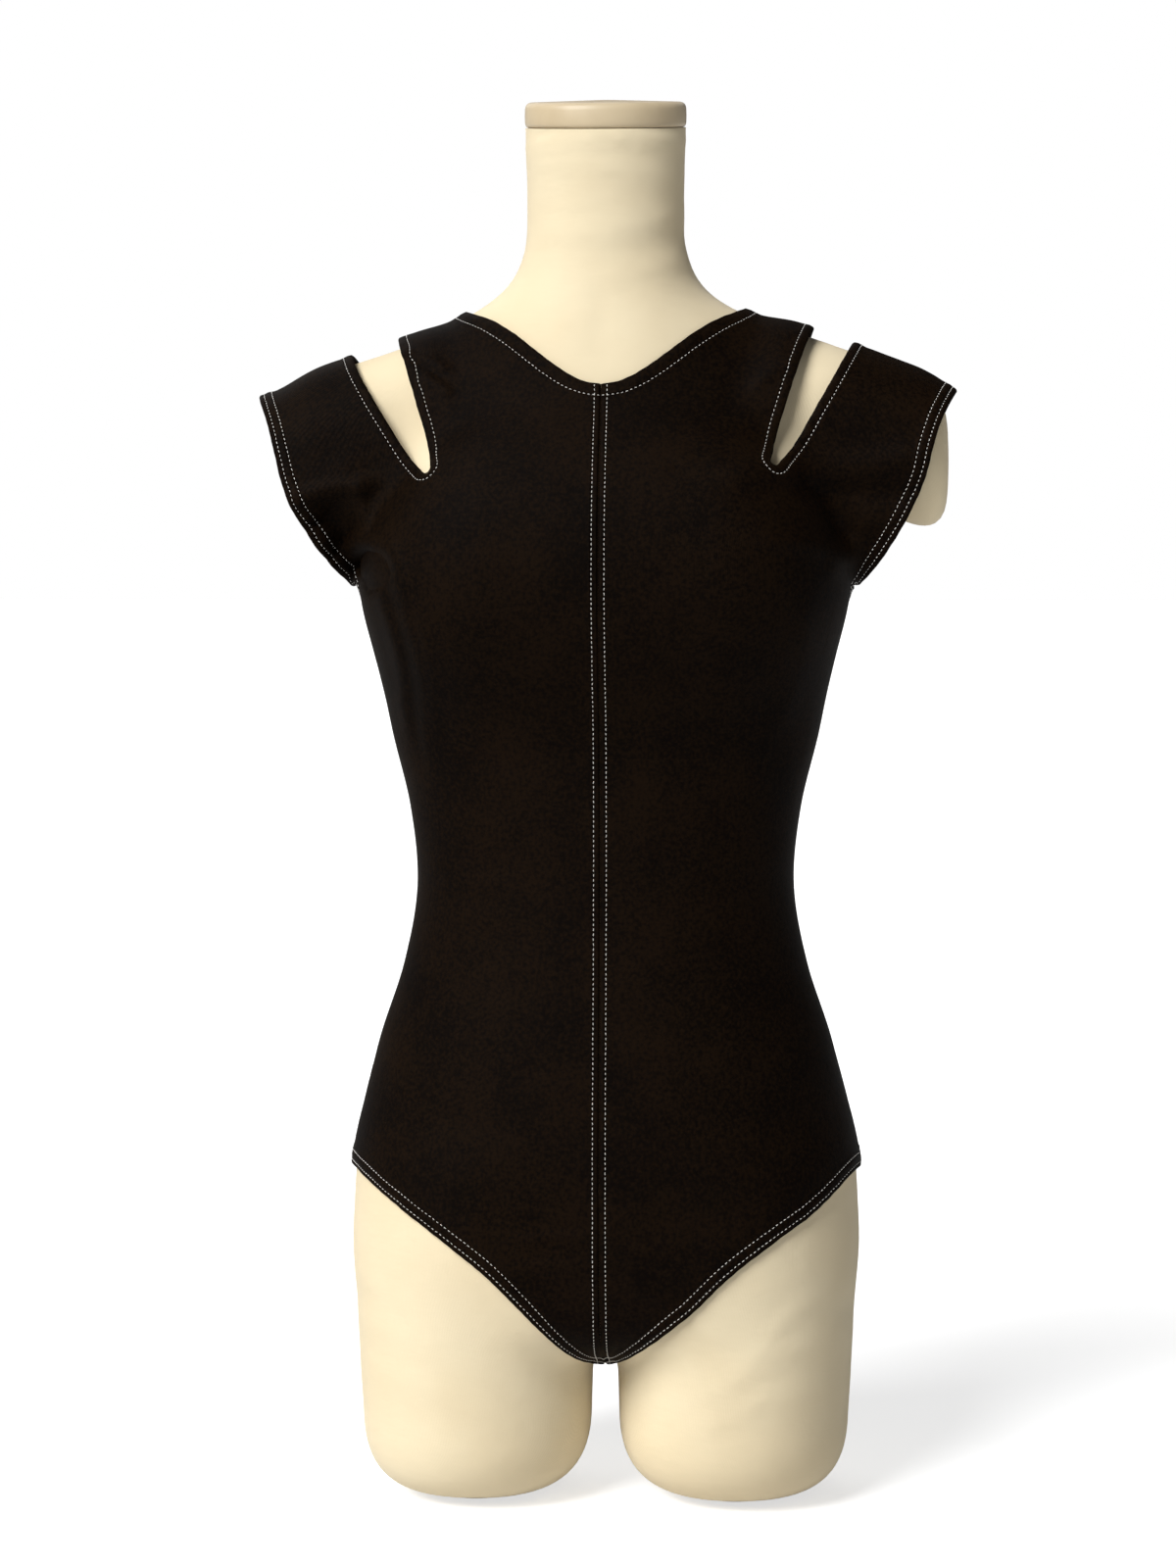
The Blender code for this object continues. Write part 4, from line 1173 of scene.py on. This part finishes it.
def neck_cap():
    """A satin-covered disc on the neck, with a soft edge above and below."""
    names = ("half_width", "front", "back")
    sizes = [float(read(TRUNK, "height", name, NECK_CUT_HEIGHT)) for name in names]
    points = []
    faces = []
    profile = list(zip(NECK_CAP_CURVE["height_share"], NECK_CAP_CURVE["size_share"]))
    for height_share, size_share in profile:
        ring = oval_ring(*[size * size_share for size in sizes], CAP_SIDES)
        ring[:, 1] += (1.0 - size_share) * NECK_CUT_BACK
        ring[:, 2] = neck_height(ring[:, 1]) + REST_GAP + height_share * NECK_CAP_THICKNESS
        ring[:, 2] += NECK_CAP_DOME * max(0.0, 1.0 - size_share)
        points.append(ring)
    for level in range(len(profile) - 1):
        for side in range(CAP_SIDES):
            after = (side + 1) % CAP_SIDES
            low = level * CAP_SIDES
            faces.append((low + side, low + after, low + CAP_SIDES + after, low + CAP_SIDES + side))
    faces.append(tuple(range(CAP_SIDES - 1, -1, -1)))
    top = (len(profile) - 1) * CAP_SIDES
    faces.append(tuple(range(top, top + CAP_SIDES)))
    return add_object("neck_cap", np.concatenate(points), faces)


def form_cover():
    """The form's body in its jersey cover."""
    lines = grid_lines(COVER_LOW, COVER_HIGH, COVER_FACET)
    points, triangles = surface(cover_level, lines, RELAX_ROUNDS)
    points, triangles, marks = cut_out(cover_level, points, triangles, [neck_cut, thigh_cut])
    points[marks[:, 0], 2] = neck_height(points[marks[:, 0], 1])
    points[marks[:, 1], 2] = THIGH_CUT
    round_body = weave_places(points, False)
    count = len(points)
    points, triangles = closed_with_flats(points, triangles)
    round_body = np.concatenate([round_body, np.zeros((len(points) - count, 2))])
    return add_object("form_cover", points, triangles.tolist(), round_body)


# Objects and materials

def add_object(name, points, faces, weave=None, values=None):
    """One named mesh, smooth shaded, with its place on the cloth and named values."""
    mesh = bpy.data.meshes.new(name)
    places = (np.asarray(points) - MIDDLE) * MM
    mesh.from_pydata(places.tolist(), [], [tuple(face) for face in faces])
    mesh.update()
    mesh.shade_smooth()
    mesh.set_sharp_from_angle(angle=np.radians(SHARP_ANGLE))
    if weave is not None:
        corners = np.zeros(len(mesh.loops), dtype=np.int32)
        mesh.loops.foreach_get("vertex_index", corners)
        layer = mesh.uv_layers.new(name="weave")
        layer.data.foreach_set("uv", weave[corners].ravel())
    for label, column in (values or {}).items():
        attribute = mesh.attributes.new(label, "FLOAT", "POINT")
        attribute.data.foreach_set("value", column)
    return add_item(name, mesh)


def add_item(name, data):
    """An object with its mesh, lamp or camera in the scene."""
    item = bpy.data.objects.new(name, data)
    bpy.context.scene.collection.objects.link(item)
    return item


def new_material(name, color):
    """A material with its Principled shader and its plain values."""
    material = bpy.data.materials.new(name)
    material.use_nodes = True
    shader = material.node_tree.nodes["Principled BSDF"]
    shader.inputs["Base Color"].default_value = (*color, 1.0)
    for label, value in SURFACES[name].items():
        shader.inputs[label].default_value = value
    return material, material.node_tree, shader


def add_node(tree, kind, settings=None, inputs=None):
    """One shader node; an input is a plain value or another node's output."""
    item = tree.nodes.new(kind)
    for name, value in (settings or {}).items():
        setattr(item, name, value)
    for name, value in (inputs or {}).items():
        if isinstance(value, bpy.types.NodeSocket):
            tree.links.new(value, item.inputs[name])
        else:
            item.inputs[name].default_value = value
    return item


def math_node(tree, operation, first, second=0.0):
    """Output of one sum on two numbers."""
    return add_node(tree, "ShaderNodeMath", {"operation": operation}, {0: first, 1: second}).outputs[0]


def knit_height(tree, loop_width, loop_height):
    """Fine knit: columns of stitches crossed by rows."""
    place = add_node(tree, "ShaderNodeUVMap", {"uv_map": "weave"}).outputs["UV"]
    columns = add_node(tree, "ShaderNodeTexWave", {"bands_direction": "X"},
                       {"Vector": place, "Scale": WAVE_TURN / loop_width})
    rows = add_node(tree, "ShaderNodeTexWave", {"bands_direction": "Y"},
                    {"Vector": place, "Scale": WAVE_TURN / loop_height, "Distortion": KNIT_WANDER})
    return math_node(tree, "MULTIPLY", columns.outputs["Fac"], rows.outputs["Fac"])


def noise(tree, name):
    """One of the soft noises."""
    size, detail, stretch = NOISES[name]
    place = add_node(tree, "ShaderNodeTexCoord").outputs["Object"]
    moved = add_node(tree, "ShaderNodeMapping", None, {"Vector": place, "Scale": stretch})
    inputs = {"Vector": moved.outputs["Vector"], "Scale": 1.0 / size, "Detail": detail}
    return add_node(tree, "ShaderNodeTexNoise", None, inputs).outputs["Fac"]


def ranged(tree, value, low, high, first, second):
    """A value carried smoothly from one range to another."""
    inputs = {"Value": value, "From Min": low, "From Max": high, "To Min": first, "To Max": second}
    item = add_node(tree, "ShaderNodeMapRange", {"interpolation_type": "SMOOTHSTEP"}, inputs)
    return item.outputs["Result"]


def sum_of(tree, *terms):
    """Sum of some values, each times its own number."""
    total = None
    for value, number in terms:
        part = math_node(tree, "MULTIPLY", value, number)
        total = part if total is None else math_node(tree, "ADD", total, part)
    return total


def add_bump(tree, shader, height, rise, strength):
    """Relief of a material; the rise is what a height of one stands for, in millimetres."""
    inputs = {"Height": height, "Distance": rise * MM, "Strength": strength}
    bump = add_node(tree, "ShaderNodeBump", None, inputs)
    tree.links.new(bump.outputs["Normal"], shader.inputs["Normal"])


def stitch_dips(tree):
    """How deep each row of stitches pulls the cloth in, from 0 to 1."""
    total = None
    rows = HEM_ROWS + [("middle", row) for row in SEAM_ROWS]
    rows += [("middle", 0.0), ("seam", 0.0)]
    for label, row in rows:
        distance = add_node(tree, "ShaderNodeAttribute", {"attribute_name": label + "_distance"})
        away = math_node(tree, "SUBTRACT", distance.outputs["Fac"], row)
        away = math_node(tree, "ABSOLUTE", away)
        dip = ranged(tree, away, 0.0, DIP_REACH, 1.0, 0.0)
        total = dip if total is None else math_node(tree, "MAXIMUM", total, dip)
    return total


def mixed_color(tree, share, first, second):
    """Colour between two colours."""
    inputs = {MIX_SHARE: share, MIX_FIRST: (*first, 1.0), MIX_SECOND: (*second, 1.0)}
    return add_node(tree, "ShaderNodeMix", {"data_type": "RGBA"}, inputs).outputs[MIX_RESULT]


def set_color(tree, shader, share, first, second):
    """Base colour of a material between two colours."""
    tree.links.new(mixed_color(tree, share, first, second), shader.inputs["Base Color"])


def jersey_material():
    """Black stretch jersey with a brown tint and a faint sheen."""
    material, tree, shader = new_material("black_jersey", BLACK)
    shader.inputs["Sheen Tint"].default_value = (*SHEEN_TINT, 1.0)
    shade = sum_of(tree, (noise(tree, "jersey_blotches"), BLOTCH_SHARE),
                   (noise(tree, "jersey_grain"), GRAIN_SHARE))
    set_color(tree, shader, ranged(tree, shade, *JERSEY_TONES, 0.0, 1.0), BLACK, BROWN_BLACK)
    height = sum_of(tree, (knit_height(tree, *JERSEY_KNIT), JERSEY_KNIT_RISE),
                    (noise(tree, "jersey_fuzz"), JERSEY_FUZZ_RISE),
                    (noise(tree, "jersey_ripple"), JERSEY_RIPPLE_RISE),
                    (stitch_dips(tree), -STITCH_DIP))
    add_bump(tree, shader, height, 1.0, 1.0)
    return material


def cover_material():
    """Cream fine knit stretched over the form."""
    material, tree, shader = new_material("cream_cover", CREAM)
    shade = ranged(tree, noise(tree, "cover_tone"), *SOFT_TONES, 0.0, 1.0)
    set_color(tree, shader, shade, CREAM, CREAM_DEEP)
    height = sum_of(tree, (knit_height(tree, *COVER_KNIT), COVER_KNIT_RISE),
                    (noise(tree, "cover_slack"), COVER_SLACK_RISE))
    add_bump(tree, shader, height, 1.0, 1.0)
    return material


def cap_material():
    """Beige satin with a soft shine."""
    material, tree, shader = new_material("beige_satin", CAP)
    shade = ranged(tree, noise(tree, "cap_tone"), *SOFT_TONES, 0.0, 1.0)
    set_color(tree, shader, shade, CAP, CAP_DEEP)
    add_bump(tree, shader, noise(tree, "cap_threads"), FINE_RISE, CAP_RELIEF)
    return material


def thread_material():
    """White sewing thread."""
    material, tree, shader = new_material("white_thread", THREAD)
    add_bump(tree, shader, noise(tree, "thread_twist"), FINE_RISE, THREAD_RELIEF)
    return material


def board_material():
    """Dark board with a little grain."""
    material, tree, shader = new_material("dark_board", BOARD)
    set_color(tree, shader, noise(tree, "board_grain"), BOARD, BOARD_PALE)
    return material


def floor_material():
    """Pale matt floor that the camera sees as bright as the backdrop."""
    material, tree, shader = new_material("pale_floor", FLOOR)
    shader.inputs["Emission Color"].default_value = (*BACKDROP, 1.0)
    seen_share = add_node(tree, "ShaderNodeLightPath").outputs["Is Camera Ray"]
    glow = math_node(tree, "MULTIPLY", seen_share, FLOOR_GLOW)
    tree.links.new(glow, shader.inputs["Emission Strength"])
    return material


# The whole object

def dress(item, material, *nodes, slot):
    """An object with its material that stands for solids of the frame."""
    item.data.materials.append(material)
    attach(item, "root")
    if nodes:
        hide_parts(*nodes)
    return item


def leotard():
    """The three panels of cloth with their topstitching."""
    jersey = jersey_material()
    thread = thread_material()
    random = np.random.default_rng(SEED)
    points, triangles = surface(cloth_level, grid_lines(CLOTH_LOW, CLOTH_HIGH, FACET), RELAX_ROUNDS)
    points, triangles = refine(cloth_level, points, triangles, cloth_facet)
    for node, seams, seam_axes, turned, flat, area in PANELS:
        panel = cut_out(cloth_level, points, triangles, seams + list(OUTLINES.values()))
        shell, faces, outer, away, distances = cloth_shell(*panel, seam_axes)
        extra = len(shell) - 2 * len(outer)
        rim = shell[len(shell) - extra:]
        values = {label + "_distance": np.concatenate([column, column, np.zeros(extra)])
                  for label, column in distances.items()}
        middle = np.abs(shell[:, 0]) if "front" in node else np.full(len(shell), FAR_AWAY)
        values["middle_distance"] = middle
        places = np.concatenate([outer, outer, rim])
        cloth = add_object("cloth_" + node, shell, faces, weave_places(places, turned), values)
        sewing = topstitching("sewing_" + node, panel[1], outer, away, distances, random)
        dress(cloth, jersey, node, slot="jersey")
        dress(sewing, thread, slot="thread")


def dress_form():
    """The form's cover, its neck cap and the boards under it."""
    dress(form_cover(), cover_material(), "form_body", slot="form_cover")
    dress(neck_cap(), cap_material(), "form_neck_cap", slot="neck_cap")
    board = board_material()
    for node in ("form_base_left", "form_base_right"):
        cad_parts[node].material_slots[0].material = board


def studio():
    """Floor, soft lights and the camera."""
    floor = bpy.data.meshes.new("floor")
    reach = FLOOR_REACH
    floor.from_pydata([(-reach, -reach, FLOOR_DROP), (reach, -reach, FLOOR_DROP),
                       (reach, reach, FLOOR_DROP), (-reach, reach, FLOOR_DROP)], [], [(0, 1, 2, 3)])
    floor.materials.append(floor_material())
    add_item("floor", floor)
    world = bpy.data.worlds.new("studio")
    world.use_nodes = True
    tree = world.node_tree
    seen_share = add_node(tree, "ShaderNodeLightPath").outputs["Is Camera Ray"]
    backdrop = mixed_color(tree, seen_share, ROOM_LIGHT, BACKDROP)
    tree.links.new(backdrop, tree.nodes["Background"].inputs["Color"])
    bpy.context.scene.world = world
    bpy.context.scene.view_settings.view_transform = "Standard"
    for row in LIGHTS:
        add_light(*row)
    add_camera()


def add_light(name, azimuth, height, spread, power, color):
    """One broad, distant lamp, by its direction and height in degrees."""
    light = bpy.data.lights.new(name, "SUN")
    light.angle = np.radians(spread)
    light.energy = power
    light.color = color
    item = add_item(name, light)
    item.rotation_euler = (np.radians(90.0 - height), 0.0, np.radians(azimuth))


def add_camera():
    """The camera of the photograph, level and a little to the wearer's left."""
    camera = bpy.data.cameras.new("camera")
    camera.lens = SENSOR * VIEW_DISTANCE / (PICTURE_HEIGHT * MM_PER_PIXEL)
    camera.sensor_width = SENSOR
    camera.shift_x = (0.5 * PICTURE_WIDTH - AXIS_PIXEL) / PICTURE_HEIGHT
    horizon = FLOOR_PIXEL - VIEW_HEIGHT / MM_PER_PIXEL
    camera.shift_y = (horizon - 0.5 * PICTURE_HEIGHT) / PICTURE_HEIGHT
    item = add_item("camera", camera)
    turn = np.radians(VIEW_TURN)
    place = np.array([np.sin(turn), -np.cos(turn), 0.0]) * VIEW_DISTANCE - MIDDLE
    item.location = (place + np.array([0.0, 0.0, VIEW_HEIGHT])) * MM
    item.rotation_euler = (0.5 * np.pi, 0.0, turn)
    bpy.context.scene.camera = item


# Open edges of the cloth
OUTLINES = {
    "neck": neckline_cut,
    "slit": slit_cut,
    "sleeve": sleeve_cut,
    "leg": leg_cut,
}
# Panels: solid, outlines at its seams, the axis across each seam, whether its weave starts
# from the back, and its flat size and area in metres
PANELS = (
    ("front_left", [front_cut, left_cut], (1, 0), False, (0.212, 0.64), 0.106),
    ("front_right", [front_cut, right_cut], (1, 0), False, (0.212, 0.64), 0.106),
    ("back", [back_cut], (1,), True, (0.424, 0.64), 0.221),
)

dress_form()
leotard()
studio()
